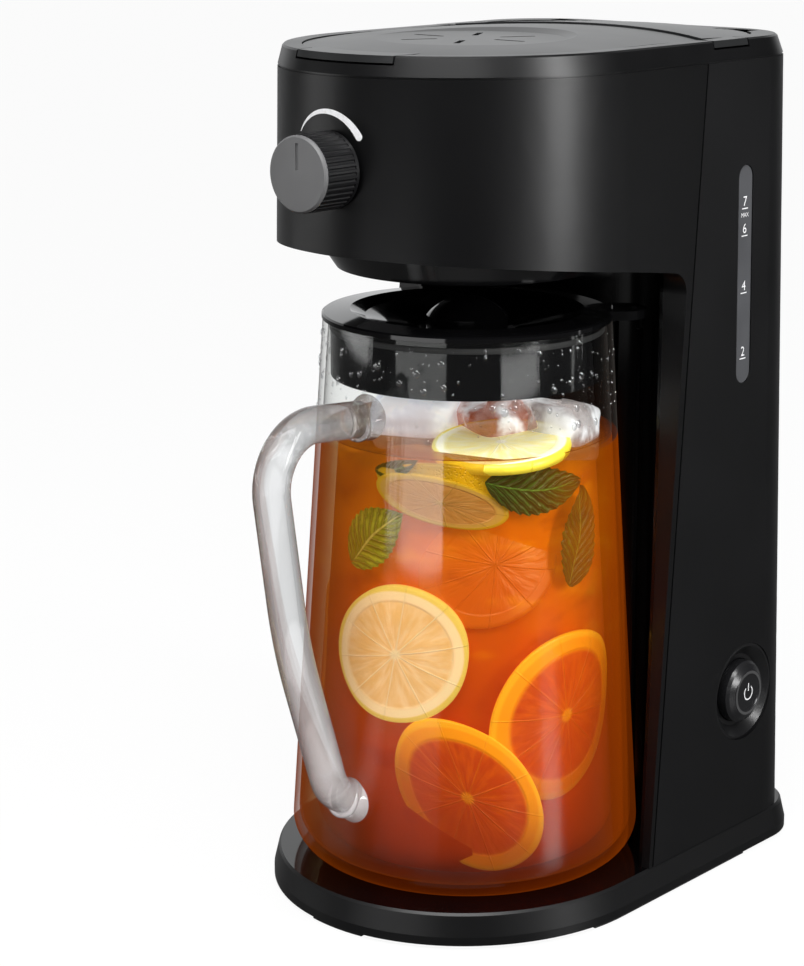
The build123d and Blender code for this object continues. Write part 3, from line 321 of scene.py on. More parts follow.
# %% floor
@finish
def white_paper(graph):
    camera_ray = graph.add("LightPath", out="Is Camera Ray")
    inner_ray = graph.add("LightPath", out="Is Transmission Ray")
    mirror_ray = graph.add("LightPath", out="Is Glossy Ray")
    tint = graph.mix((0.045, 0.045, 0.045), (0.90, 0.90, 0.90), camera_ray)
    shaded_paper = graph.solid(tint, 0.28, Specular_IOR_Level=0.35)
    glowing = graph.add("Emission")
    lit = graph.sum("MAXIMUM", camera_ray * 0.93, inner_ray * 0.80)
    lit = graph.sum("MAXIMUM", lit, mirror_ray * 0.04)
    return graph.blend(lit, shaded_paper, glowing)


def floor_sheet(reach=40.0):
    mesh = bpy.data.meshes.new("floor")
    corners = [(-reach, -reach, 0), (reach, -reach, 0), (reach, reach, 0), (-reach, reach, 0)]
    mesh.from_pydata(corners, [], [(0, 1, 2, 3)])
    mesh.materials.append(white_paper("paper_white"))
    sheet = new_object("floor", mesh)
    sheet.location.z = -0.0002
    return sheet


floor = floor_sheet()
print("floor at", floor.location.z)

# %% [markdown]
# ## Black plastics
# Nearly everything outside is black plastic, and the photograph tells four kinds apart:
# the satin housing with its fine spark-eroded grain, the smoother lids, the polished drum
# and jug lid, and the deck of the base, glossy on top with a satin edge. One recipe makes
# them all from a tint, a roughness and a grain. Slow noise drifts the roughness, because a
# moulding is never quite even, and a fine bump breaks the highlight as the grain does.

# %% moulded plastic
GRAIN, GRAIN_DEPTH = 1900.0, 0.000008


@finish
def plastic(graph, tint, rough, grain=GRAIN, depth=GRAIN_DEPTH, drift=0.05, gloss=0.5):
    """Moulded plastic with a fine grain."""
    cloud = graph.noise(22.0, 3.0) - 0.5
    speck = graph.noise(grain, 1.0)
    shade = graph.mix(shaded(tint, 0.86), shaded(tint, 1.18), graph.step(cloud, -0.2, 0.2))
    return graph.solid(shade, rough + drift * 2 * cloud, graph.bump(speck, depth),
                       Specular_IOR_Level=gloss)


BLACK = (0.0022, 0.0022, 0.0025)
rear_black = plastic("rear_satin", shaded(BLACK, 1.3), 0.42, gloss=0.30)
frame_black = plastic("frame_satin", BLACK, 0.34, depth=0.000006, gloss=0.38)
lid_black = plastic("lid_satin", (0.012, 0.0125, 0.013), 0.34, depth=0.000005)
drum_gloss = plastic("drum_polished", (0.006, 0.006, 0.0065), 0.10, 900.0, 0.000001, 0.02)
jug_lid_gloss = plastic("jug_lid_polished", (0.003, 0.003, 0.0033), 0.07, 700.0, 0.000001, 0.02,
                        0.34)
knob_black = plastic("knob_satin", (0.004, 0.004, 0.0045), 0.34)
knob_face = plastic("knob_face_satin", (0.120, 0.120, 0.122), 0.50, 1500.0, 0.000010)
bezel_black = plastic("bezel_satin", (0.006, 0.006, 0.0065), 0.30)
button_black = plastic("button_satin", (0.010, 0.010, 0.011), 0.28, depth=0.000004)
basket_grey = plastic("basket_matt", (0.05, 0.05, 0.053), 0.55)
cover_matt = plastic("cover_matt", (0.035, 0.035, 0.036), 0.62, 1300.0, 0.000020)
switch_black = plastic("switch_matt", (0.06, 0.06, 0.062), 0.58)
print("plastics:", len(bpy.data.materials) - 1)

# %% [markdown]
# ## The base
# The base is one moulding with two looks. Its deck, on which the jug stands, is polished
# and mirrors the drink, while the sloping edge and the band under it are satin. The finish
# tells them apart by height and by which way the surface faces.

# %% base
def polished_in_part(graph, polish, drift, shade, rough, gain, gloss):
    """Satin black that is smoother and darker where polish is 1."""
    cloud = graph.noise(drift, 3.0) - 0.5
    speck = graph.noise(GRAIN, 1.0)
    tint = graph.mix(BLACK, shaded(BLACK, shade), polish)
    relief = graph.bump(speck * (1 - polish), GRAIN_DEPTH)
    return graph.solid(tint, rough - gain * polish + 0.06 * cloud, relief,
                       Specular_IOR_Level=gloss)


@finish
def base_finish(graph):
    deck_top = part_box("base_tray")[1][2]
    print("deck is polished above z =", round(deck_top, 4))
    height = graph.split(graph.place())[2]
    level = graph.split(graph.add("NewGeometry", out="Normal"))[2]
    on_top = graph.step(height, deck_top - 0.0012, deck_top - 0.0006)
    deck = graph.step(level, 0.90, 0.99) * on_top
    return polished_in_part(graph, deck, 30.0, 0.5, 0.38, 0.29, 0.38)


base_black = base_finish("base_two_looks")

# %% [markdown]
# ## The front housing
# The head outside is satin, but the column face behind the jug is polished, with upright
# ribs that catch the light. It is the part of the housing behind the jug's front half and
# under the head, so again the place decides.

# %% front housing
@finish
def housing_finish(graph):
    jug_low, jug_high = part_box("jug_glass")
    axis_y = middle("jug_glass")[1]
    bay_gap = 0.0063
    bay_r = (jug_high[0] - jug_low[0]) / 2 + bay_gap
    print("bay radius", round(bay_r, 4))
    x, y, _ = graph.split(graph.place())
    from_axis = (x ** 2 + (y - axis_y) ** 2) ** 0.5
    side_x, side_y, _ = graph.split(graph.add("NewGeometry", out="Normal"))
    inwards = graph.step(side_y * (axis_y - y) - side_x * x, 0.0, 0.01)
    near = 1 - graph.step(from_axis, bay_r, bay_r + 0.0006)
    in_bay = inwards * near * graph.step(y, 0.0, 0.004)
    return polished_in_part(graph, in_bay, 22.0, 0.6, 0.35, 0.24, 0.30)


housing_black = housing_finish("housing_two_looks")

# %% [markdown]
# ## Metals, rubber and clear parts inside
# These show only when a lid is open or the base is seen from below, but they are made as
# carefully, because a part may be looked at from anywhere.

# %% inner finishes
@finish
def metal(graph, tint, rough, scratch, stretch):
    """Metal with fine marks along one direction."""
    marks = graph.noise(scratch, 3.0, stretch)
    shade = graph.mix(shaded(tint, 0.8), tint, marks)
    relief = graph.bump(marks, 0.00001)
    return graph.solid(shade, rough + 0.15 * (marks - 0.5), relief, Metallic=1.0)


@finish
def rubber(graph, tint, rough, grain=600.0):
    dust = graph.noise(grain, 4.0)
    shade = graph.mix(shaded(tint, 0.85), shaded(tint, 1.2), dust)
    return graph.solid(shade, rough + 0.1 * (dust - 0.5), graph.bump(dust, 0.00003))


@finish
def woven_mesh(graph):
    """Fine steel cloth: two sets of threads that pass over and under, with the gaps between them
    painted dark as painted shade.
    """
    x, y, z = graph.split(graph.place())
    radius, pitch = 0.05, 0.0006
    around = graph.sum("ARCTAN2", y, x) * radius
    threads = 2 * pi / pitch
    warp = graph.sum("SINE", around * threads)
    weft = graph.sum("SINE", z * threads)
    gaps_painted_dark = graph.step(abs(warp) * abs(weft), 0.25, 0.6)
    # Painted shade: the gaps between the threads are dark.
    tint = graph.mix((0.55, 0.55, 0.56), (0.10, 0.10, 0.10), gaps_painted_dark)
    relief = graph.bump(warp * weft, 0.00006)
    return graph.solid(tint, 0.35 + 0.3 * gaps_painted_dark, relief, Metallic=0.9)


@finish
def clear_plastic(graph, tint, opacity):
    """Smoky moulding that shows some of what is behind it."""
    cloud = graph.noise(40.0, 2.0) - 0.5
    shade = graph.mix(shaded(tint, 0.9), shaded(tint, 1.1), graph.step(cloud, -0.2, 0.2))
    solid = graph.solid(shade, 0.16 + 0.08 * cloud, Coat_Weight=0.4)
    share = opacity + (1 - opacity) * graph.facing() ** 3
    return graph.blend(share, graph.clear((0.9, 0.92, 0.95)), solid)


steel = metal("plated_steel", (0.62, 0.62, 0.61), 0.28, 400.0, (1.0, 1.0, 6.0))
casting = metal("cast_aluminium", (0.60, 0.60, 0.61), 0.52, 260.0, (1.0, 1.0, 1.0))
chrome = metal("bright_ring", (0.78, 0.78, 0.79), 0.16, 900.0, (1.0, 4.0, 1.0))
black_rubber = rubber("black_rubber", (0.022, 0.022, 0.022), 0.72)
silicone = rubber("milky_silicone", (0.55, 0.54, 0.50), 0.42, 300.0)
steel_cloth = woven_mesh("steel_cloth")
tank_clear = clear_plastic("tank_smoky", (0.20, 0.21, 0.23), 0.55)
window_lens = clear_plastic("window_lens", (0.085, 0.087, 0.093), 0.90)
print("finishes so far:", len(bpy.data.materials))

# %% [markdown]
# ## Asking the jug for its wall
# The drink has to fill the jug exactly. Instead of copying sizes, we send a ray from the
# jug's axis outwards and ask the glass where its inner wall is, at two heights. The wall
# between them is a straight cone. A ray from outside then gives the glass's thickness.

# %% inside of the jug
AXIS_Y = middle("jug_glass")[1]


def tree_of(part):
    """What a ray needs to find a part."""
    return BVHTree.FromObject(nodes[part], bpy.context.evaluated_depsgraph_get())


def ray_hit(tree, start, way):
    """Where a ray from start meets the part."""
    return tree.ray_cast(Vector(start), Vector(way))[0]


glass_tree = tree_of("jug_glass")


def wall_at(height):
    """Radius of the glass's inner wall at a height, found by a ray from the axis."""
    return ray_hit(glass_tree, (0.0, AXIS_Y, height), (1.0, 0.0, 0.0)).x


FLOOR_Z = ray_hit(glass_tree, (0.0, AXIS_Y, 0.1), (0.0, 0.0, -1.0)).z
LOW_Z, HIGH_Z = 0.040, 0.200
WALL_SLOPE = (wall_at(HIGH_Z) - wall_at(LOW_Z)) / (HIGH_Z - LOW_Z)
WALL_FOOT = wall_at(LOW_Z) - WALL_SLOPE * LOW_Z
TEA_Z = 0.1895


def inner_wall(height):
    return WALL_FOOT + WALL_SLOPE * height


outer_wall = ray_hit(glass_tree, (0.3, AXIS_Y, HIGH_Z), (-1.0, 0.0, 0.0)).x
GLASS = outer_wall - inner_wall(HIGH_Z)
print("jug floor", round(FLOOR_Z, 4), "wall at the surface", round(inner_wall(TEA_Z), 4))

# %% [markdown]
# ## The colour of the tea, with painted light
# Tea isn't one colour, and light is painted into it as well. Light comes from behind, so the
# drink is painted deep red-brown low in the jug, glowing orange in the middle and amber near
# the top. At its left and right outline, as the camera sees it, it is painted browner, a
# painted shade where there is more of it to look through. The gradient is fixed to the jug,
# with slow swirls and finer streams, bright and dark, in it; the bright streams are a painted
# glow. Fruit borrows it too, painted light and all: the deeper a slice lies, the more of the
# tea's colour it has.

# %% tea colour
def tea_tint_with_painted_light(graph):
    """The tea's colour at this point of the jug, with a painted glow from behind and painted shade
    at its outline.
    """
    x, y, z = graph.split(graph.place())
    swirl = graph.noise(15.0, 3.0, (1.0, 1.0, 0.6)) - 0.5
    rise = (z - FLOOR_Z) / (TEA_Z - FLOOR_Z) + 0.50 * swirl
    # Painted light: the ramp up the jug stands in for light from behind, dark low and glowing in
    # the middle.
    deep = graph.add("ValToRGB", {"stops": [
        (0.00, paint(92, 26, 2)), (0.12, paint(140, 44, 2)), (0.34, paint(178, 62, 0)),
        (0.58, paint(198, 86, 0)), (0.80, paint(212, 112, 0)), (1.00, paint(146, 84, 4))]},
        {0: rise})
    stream = graph.noise(34.0, 4.0, (1.0, 1.0, 2.2)) - 0.5
    # Painted glow: bright streams, only in the middle of the drink, where the light from behind
    # shines.
    painted_glow_share = graph.step(stream + 0.5 * swirl, 0.02, 0.24) * graph.step(rise, 0.30, 0.75)
    deep = graph.mix(deep, paint(236, 152, 6), painted_glow_share * 0.85)
    deep = graph.mix(deep, paint(142, 40, 0), graph.step(stream * -1, 0.04, 0.24) * 0.60)
    # Painted shade: the outline on the camera's left and right turns browner, fixed to the jug.
    across = (x * cos(CAMERA_TURN) + (y - AXIS_Y) * sin(CAMERA_TURN)) / inner_wall(0.1)
    left = graph.step(-across, 0.45, 1.0)
    right = graph.step(across, 0.55, 1.0)
    tint = graph.mix(deep, paint(112, 52, 4), left * 0.85)
    return graph.mix(tint, paint(112, 42, 4), right * 0.85)


print("tea colours ready, surface at", TEA_Z)

# %% [markdown]
# ## Glass
# The eye reads thin glass by two things: the mirror of the room, which grows towards the
# outline, and a dark line where we look along the wall. Bending light through so thin a wall
# would change little and cost much noise, so the wall is a mix of see-through, mirror and a
# painted edge: a dark painted shade where we look along the wall above the drink. Only its
# outer side mirrors, because the drink wets the inner one. Where there is drink behind it,
# the edge borrows the tea's tint and glows as painted light. The handle's solid rod bends
# what is behind it strongly, so part of it is true glass; the other part keeps it as clear as
# the photograph shows, with painted dark and bright streaks along the rod, and a painted white
# glow low on it that stands in for the paper the rod bends into view.

# %% clear walls and rod
def outer_side(graph, x, y):
    """1 where the surface faces away from the jug's axis."""
    side_x, side_y, _ = graph.split(graph.add("NewGeometry", out="Normal"))
    return graph.step(side_x * x + side_y * (y - AXIS_Y), 0.0, 0.004)


@finish
def thin_glass(graph, edge_shade_tint):
    facing = graph.facing()
    x, y, z = graph.split(graph.place())
    outer = outer_side(graph, x, y)
    filled = 1 - graph.step(z, TEA_Z - 0.001, TEA_Z + 0.0005)
    ripple = graph.noise(9.0, 1.0)
    mirror = graph.add("BsdfGlossy", sockets={
        "Color": WHITE, "Roughness": 0.06, "Normal": graph.bump(ripple, 0.0004)})
    # Painted light at the edge: dark painted shade above the drink, and the tea's tint with a
    # painted glow where the drink is behind.
    tint = graph.mix(edge_shade_tint, graph.mix(tea_tint_with_painted_light(graph), paint(122, 50, 2), facing), filled)
    painted_edge = graph.glowing(tint, 0.2, 0.50, gloss=0.0)
    share = 0.002 + outer * (0.024 + (0.50 - 0.36 * filled) * facing ** 5)
    wall = graph.blend(share, graph.clear((0.97, 0.975, 0.97)), mirror)
    edge = (1 - filled) * 0.75 * facing ** 7 + filled * 0.95 * facing ** 2.2
    return graph.blend(edge, wall, painted_edge)


@finish
def rod_glass(graph):
    ripple = graph.noise(26.0, 1.0)
    facing = graph.facing()
    bent = graph.solid((0.975, 0.985, 0.985), 0.0, graph.bump(ripple, 0.0003), IOR=1.47,
                       Transmission_Weight=1.0)
    # Painted light and shade: shine glows white, most low on the rod and where we look straight at
    # it, for the paper that the rod bends into view; line paints dark streaks and a dark outline.
    low = 1 - graph.step(graph.split(graph.place())[2], 0.06, 0.15)
    shine = graph.solid((0.50, 0.50, 0.50), 0.05, Emission_Strength=0.62)
    line = graph.solid((0.06, 0.06, 0.06), 0.05)
    streak = graph.noise(60.0, 2.0, (1.0, 1.0, 0.10))
    painted_glow_share = (0.02 + 0.56 * low) * (1 - facing) ** 1.5
    share = 0.02 + 0.20 * graph.step(streak, 0.51, 0.57) + 0.98 * facing ** 1.4
    straight = graph.blend(painted_glow_share, graph.clear((0.97, 0.975, 0.98)), shine)
    straight = graph.blend(share, straight, line)
    return graph.blend(0.72, bent, straight)


jug_clear = thin_glass("jug_clear_glass", (0.045, 0.040, 0.036))
handle_clear = rod_glass("rod_glass")
print("glass ready")

# %% [markdown]
# ## Dressing the parts
# Every CAD part now gets its finish. The table reads as a parts list, and the line printed
# after it names any part that was forgotten.

# %% finishes of the parts
FINISHES = {
    housing_black: ["front_housing"],
    rear_black: ["rear_shell"],
    frame_black: ["top_frame"],
    lid_black: ["brew_lid", "tank_lid"],
    base_black: ["base_tray"],
    cover_matt: ["base_cover"],
    drum_gloss: ["brew_drum", "selector_seat", "selector_disc"],
    basket_grey: ["brew_basket", "filter_frame"],
    steel_cloth: ["filter_mesh"],
    knob_black: ["strength_knob"],
    knob_face: ["knob_cap"],
    bezel_black: ["switch_bezel"],
    button_black: ["power_button"],
    chrome: ["button_ring"],
    window_lens: ["level_window"],
    tank_clear: ["water_tank"],
    switch_black: ["power_switch", "switch_carrier"],
    casting: ["heater_block"],
    steel: ["base_screws", "brew_lid_pins", "tank_lid_pins", "heater_bracket", "thermostat",
            "fuse_clip", "hose_clips", "knob_shaft", "button_spring"],
    silicone: ["inlet_hose", "riser_hose", "check_valve", "water_spout", "thermal_fuse"],
    black_rubber: ["base_pads", "cord_gland", "window_gasket", "jug_lid_seal"],
    jug_clear: ["jug_glass"],
    handle_clear: ["jug_handle"],
    jug_lid_gloss: ["jug_lid"],
}
for material, names in FINISHES.items():
    for name in names:
        nodes[name].data.materials.clear()
        nodes[name].data.materials.append(material)
undressed = set(nodes) - {name for names in FINISHES.values() for name in names}
print("parts without a finish:", sorted(undressed))

# %% [markdown]
# ## Making pieces
# A few helpers build all the rest. One makes a piece that rides on a body, and can keep
# each point's place on a drawing for the finish. Two join rows of points, one turns a
# profile on the jug's axis, and one sets things afloat. The last lays a flat drawing on the
# curved glass: across becomes round the jug, up stays up, and depth goes in from the wall.

# %% makers
def make_piece(name, points, faces, material, body, layer_name=None, places=None):
    mesh = bpy.data.meshes.new(name)
    mesh.from_pydata([tuple(p) for p in points], [], faces)
    mesh.update()
    mesh.shade_smooth()
    mesh.materials.append(material)
    piece = new_object(name, mesh)
    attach(piece, body)
    if layer_name:
        layer = mesh.uv_layers.new(name=layer_name)
        for loop in mesh.loops:
            layer.data[loop.index].uv = places[loop.vertex_index]
    return piece


def ring_faces(rows, steps, start=0):
    """Faces between rows + 1 rings of points, each with steps points."""
    faces = []
    for ring in range(start, start + rows * steps, steps):
        for i in range(steps):
            a, b = ring + i, ring + (i + 1) % steps
            faces.append((a, b, b + steps, a + steps))
    return faces


def sheet_faces(rows, wide):
    """Faces between rows + 1 open lines of points, each with wide points."""
    return [(a, a + 1, a + 1 + wide, a + wide)
            for row in range(rows) for a in range(row * wide, (row + 1) * wide - 1)]


def turn_profile(name, profile, material, body, steps=128):
    """A solid turned on the jug's axis, from (radius, z) points between two on the axis."""
    inner = profile[1:-1]
    points = [(0.0, AXIS_Y, profile[0][1])]
    for radius, z in inner:
        for i in range(steps):
            a = 2 * pi * i / steps
            points.append((radius * cos(a), AXIS_Y + radius * sin(a), z))
    points.append((0.0, AXIS_Y, profile[-1][1]))
    last = len(points) - 1
    faces = [(0, 1 + (i + 1) % steps, 1 + i) for i in range(steps)]
    faces += ring_faces(len(inner) - 1, steps, 1)
    faces += [(last, last - steps + i, last - steps + (i + 1) % steps) for i in range(steps)]
    return make_piece(name, points, faces, material, body)


def afloat(spot, turn, tilt):
    """A place that is measured from the jug's axis at the drink's surface."""
    place = Matrix.Translation((spot[0], AXIS_Y + spot[1], TEA_Z + spot[2]))
    return place @ Matrix.Rotation(radians(turn), 4, "Z") @ Matrix.Rotation(radians(tilt), 4, "X")


def on_wall(turn, height, across, up, depth):
    """A point that lies depth inside the glass, from a drawing centred at turn and height."""
    z = height + up
    angle = radians(turn) + across / inner_wall(height)
    radius = inner_wall(z) - depth
    return Vector((radius * cos(angle), AXIS_Y + radius * sin(angle), z))


print("a point on the wall:", on_wall(-50, 0.1, 0, 0, 0))

# %% [markdown]
# ## The drink's finishes
# The core glows a little, a painted light that stands in for the light that fills a drink and
# comes out of it everywhere. The skin is clear where we look straight through it and takes the
# tea's colour towards the outline, where there is more tea to look through. It glows a little
# too, as painted light.

# %% drink finishes
def depth_in_tea(graph):
    """How far this point lies inside the wall, in metres."""
    x, y, z = graph.split(graph.place())
    from_axis = (x ** 2 + (y - AXIS_Y) ** 2) ** 0.5
    return WALL_FOOT + WALL_SLOPE * z - from_axis


@finish
def tea_core_finish(graph):
    # Painted light: the core glows.
    return graph.glowing(tea_tint_with_painted_light(graph), 0.55, 0.34, gloss=0.0)


@finish
def tea_skin_finish(graph):
    facing = graph.facing()
    tint = graph.mix(tea_tint_with_painted_light(graph), paint(112, 44, 2), facing ** 3)
    # Painted light: the skin glows a little.
    body = graph.glowing(tint, 0.20, 0.25, gloss=0.0)
    see = graph.clear((1.0, 0.88, 0.62))
    return graph.blend(0.06 + 0.90 * facing ** 1.6, see, body)


tea_depth = tea_core_finish("tea_depth")
tea_surface = tea_skin_finish("tea_surface")
print("tea finishes ready")

# %% [markdown]
# ## The drink
# Two bodies make the drink: a glowing core, and round it a clear skin that fills the glass
# to an eighth of a millimetre. Between them is room for the fruit. The skin creeps up the
# glass a little at the top, as any liquid does.

# %% drink
SKIN_GAP = 0.00012
CORE_DEPTH = 0.0070


def drink_profile(inset, lift, top, creep=0.0):
    """Half outline of the drink from the middle of the jug's floor to the middle of its top."""
    heel_z, heel_run, heel_rise = 0.036, 0.012, 0.014
    low = FLOOR_Z + lift
    heel = inner_wall(heel_z) - inset
    profile = [(0.0, low)]
    for i in range(9):
        a = pi / 2 * i / 8
        profile.append((heel - heel_run + heel_run * sin(a), low + heel_rise - heel_rise * cos(a)))
    for i in range(1, 13):
        z = low + heel_rise + (top - low - heel_rise) * i / 12
        profile.append((inner_wall(z) - inset, z))
    if creep:
        edge = profile.pop()[0]
        profile += [(edge, top + creep), (edge - 0.0009, top + creep * 0.35),
                    (edge - 0.0027, top)]
    profile.append((0.0, top))
    return profile


core_line = drink_profile(CORE_DEPTH, 0.0020, TEA_Z - 0.006)
skin_line = drink_profile(SKIN_GAP, SKIN_GAP, TEA_Z, 0.0011)
tea_core = turn_profile("tea_core", core_line, tea_depth, "jug")
tea_skin = turn_profile("tea_skin", skin_line, tea_surface, "jug")
print("drink: core", len(tea_core.data.vertices), "skin", len(tea_skin.data.vertices))

# %% [markdown]
# ## Fruit slices
# A slice is drawn flat as rings of points, from its middle to its peel, with a rounded edge,
# and laid on the wall. Each point keeps its place on the slice in a coordinate layer, so
# that the finish can draw the segments: an angle gives the thin walls between them, a
# radius the pith and the peel, and noise stretched along the radius the juice sacs.

# %% slice shape
def slice_piece(name, material, section, steps, lay, wobble):
    """A slice from rings of (reach, inward). lay puts a point of the drawing in its place."""
    points, places = [], []
    for reach, inward in section:
        for i in range(steps):
            a = 2 * pi * i / steps
            u, v = reach * wobble(a) * cos(a), reach * wobble(a) * sin(a)
            points.append(lay(u, v, inward))
            places.append((u, v))
    faces = ring_faces(len(section) - 1, steps)
    return make_piece(name, points, faces, material, "jug", "slice", places)


def lay_slice(name, material, turn, height, half_width, half_height, roll, depth,
              lean=(0.0, 0.0), thick=0.0035, rings=14, steps=72):
    """A citrus slice at the glass. lean is how much deeper its right and top edges lie."""
    section = [(i / rings, 0.0) for i in range(rings + 1)]
    section += [(1.0 + 0.03 * sin(a), 0.5 - 0.5 * cos(a)) for a in (pi / 4, pi / 2, 3 * pi / 4)]
    section += [(1.0 - i / rings, 1.0) for i in range(rings)]

    def lay(u, v, inward):
        across = u * half_width * cos(roll) - v * half_height * sin(roll)
        up = u * half_width * sin(roll) + v * half_height * cos(roll)
        deep = depth + thick * inward + lean[0] * across / half_width
        deep += lean[1] * up / half_height
        return on_wall(turn, height, across, up, max(deep, 0.0004))

    def wobble(a):
        return 1.0 + 0.012 * sin(3 * a + turn) + 0.008 * sin(5 * a)

    return slice_piece(name, material, section, steps, lay, wobble)


@finish
def fruit_finish(graph, peel, pith, flesh, juice, glow, fog, segments=9, walls=0.5, rim=0.84):
    """Cut citrus in tea. fog is the tea's share at the wall and at the deepest point. glow is a
    painted light, for a slice lit from behind.
    """
    u, v, _ = graph.split(graph.add("UVMap", {"uv_map": "slice"}))
    reach = (u ** 2 + v ** 2) ** 0.5
    angle = graph.sum("ARCTAN2", v, u)
    unrolled = graph.add("CombineXYZ", sockets={0: reach * 3.0, 1: angle * 5.5})
    sacs = graph.noise(1.0, 3.0, place=unrolled)
    wall = abs(graph.sum("SINE", angle * (segments / 2))) * reach
    membrane = 1 - graph.step(wall, 0.010, 0.070)
    core = 1 - graph.step(reach, 0.05, 0.11)
    pulp = graph.mix(flesh, juice, graph.step(sacs, 0.35, 0.72))
    pulp = graph.mix(pulp, pith, graph.sum("MAXIMUM", membrane * walls, core))
    pulp = graph.mix(pulp, pith, graph.step(reach, rim - 0.06, rim + 0.03))
    skin = graph.mix(pulp, peel, graph.step(reach, 0.925, 0.965))
    depth = depth_in_tea(graph)
    share = fog[0] + (fog[1] - fog[0]) * graph.step(depth, 0.0005, CORE_DEPTH * 0.9)
    tint = graph.mix(skin, tea_tint_with_painted_light(graph), share)
    height = sacs * (1 - graph.step(reach, 0.78, 0.82)) - membrane * 0.4
    # Painted light: the slice glows by glow.
    return graph.glowing(tint, 0.38, glow, graph.bump(height, 0.0006))


# %% slices in the jug
lemon_cut = fruit_finish("lemon_cut", paint(240, 232, 130), paint(255, 254, 236),
                         paint(240, 214, 162), paint(250, 236, 208), 0.38, (0.0, 0.06), 10, 0.85,
                         0.82)
orange_cut = fruit_finish("orange_cut", paint(255, 196, 40), paint(252, 172, 20),
                          paint(196, 70, 0), paint(216, 96, 0), 0.42, (0.0, 0.80), 10, 0.16, 0.80)
orange_faint = fruit_finish("orange_faint", paint(240, 150, 10), paint(240, 158, 16),
                            paint(214, 92, 0), paint(232, 130, 8), 0.34, (0.78, 0.99), 10, 0.10,
                            0.80)
slices = [
    lay_slice("lemon_slice_front", lemon_cut, -76, 0.1120, 0.0300, 0.0265, 0.2, 0.0010),
    lay_slice("orange_slice_right", orange_cut, -10, 0.0850, 0.0360, 0.0320, 0.5, 0.0028,
              (0.0022, -0.0030)),
    lay_slice("orange_slice_low", orange_cut, -49, 0.0560, 0.0370, 0.0250, -0.75, 0.0038,
              (-0.0030, -0.0040)),
    lay_slice("orange_slice_high", orange_faint, -38, 0.1480, 0.0330, 0.0230, 0.3, 0.0060,
              (0.0010, 0.0020)),
    lay_slice("lemon_slice_back", lemon_cut, 115, 0.1050, 0.0290, 0.0270, 1.1, 0.0025),
    lay_slice("orange_slice_left", orange_cut, -158, 0.0900, 0.0320, 0.0300, 0.9, 0.0040,
              (0.0030, 0.0)),
]
print("slices:", [piece.name for piece in slices])

# %% [markdown]
# ## The floating lemon
# Half a lemon floats under the surface. We see its cut face, foreshortened to a flat ellipse,
# and the round of its peel behind and above it. Lemon peel is dimpled, so its finish needs a
# fine cell pattern in the bump, and its colour drifts from yellow to green.

# %% floating lemon
@finish
def peel_finish(graph):
    pores = graph.add("TexVoronoi", sockets={"Vector": graph.place(), "Scale": 900.0})
    drift = graph.noise(60.0, 2.0)
    tint = graph.mix(paint(206, 178, 10), paint(150, 142, 14), graph.step(drift, 0.4, 0.65))
    tint = graph.mix(tint, tea_tint_with_painted_light(graph), 0.18)
    relief = graph.bump(graph.step(pores, 0.1, 0.5), 0.0003)
    # Painted light: the peel glows a little, as the slices do.
    return graph.glowing(tint, 0.35, 0.34, relief)


lemon_wet = fruit_finish("lemon_in_tea", paint(196, 176, 40), paint(190, 170, 96),
                         paint(176, 138, 78), paint(192, 156, 104), 0.22, (0.10, 0.35))
lemon_peel = peel_finish("lemon_peel")
lay_slice("lemon_half_peel", lemon_peel, -53, 0.1785, 0.0350, 0.0085, -0.10, 0.0030,
          (0.0015, 0.0), 0.0030)
lay_slice("lemon_half_face", lemon_wet, -60, 0.1735, 0.0275, 0.0088, -0.20, 0.0012,
          (0.0010, 0.0), 0.0020)
print("floating lemon laid")

# %% [markdown]
# ## Ice and what floats
# The cubes are melting, so they are rounded boxes with sides that wander a little. A point
# on a ball is pushed towards a box by raising its directions to a small power, which keeps
# the corners soft with no seam. Clear ice shows mostly its cloudy heart and its outline, so
# the finish is a mix again, and below the surface it takes the colour of the tea. It also
# glows, a painted light for ice that sits in the shade of the jug's lid.

# %% ice
@finish
def ice_finish(graph, heart, opacity):
    z = graph.split(graph.place())[2]
    cloud = graph.noise(70.0, 3.0)
    facing = graph.facing()
    under = 1 - graph.step(z, TEA_Z - 0.003, TEA_Z + 0.004)
    tint = graph.mix(heart, (0.93, 0.94, 0.96), graph.step(cloud, 0.42, 0.66))
    tint = graph.mix(tint, tea_tint_with_painted_light(graph), under * 0.7)
    # Painted light: the ice glows.
    body = graph.glowing(tint, 0.12 + 0.2 * cloud, 0.50, graph.bump(cloud, 0.0020))
    share = opacity + (1 - opacity) * graph.step(cloud, 0.40, 0.62) * 0.6 + 0.3 * facing ** 3
    return graph.blend(share, graph.clear((0.95, 0.96, 0.97)), body)


def ice_cube(name, material, spot, size, turn, tilt, seed, rows=20, steps=32):
    place = afloat(spot, turn, tilt)

    def boxed(value):
        return (abs(value) ** 0.42) * (1 if value > 0 else -1)

    points = []
    for row in range(rows + 1):
        up = -pi / 2 + pi * row / rows
        for i in range(steps):
            a = 2 * pi * i / steps
            wander = 1 + 0.05 * sin(3 * a + seed) + 0.05 * sin(4 * up + 2 * a + seed)
            level = boxed(cos(up))
            way = (boxed(cos(a)) * level, boxed(sin(a)) * level, boxed(sin(up)))
            points.append(place @ Vector([w * half * wander for w, half in zip(way, size)]))
    return make_piece(name, points, ring_faces(rows, steps), material, "jug")


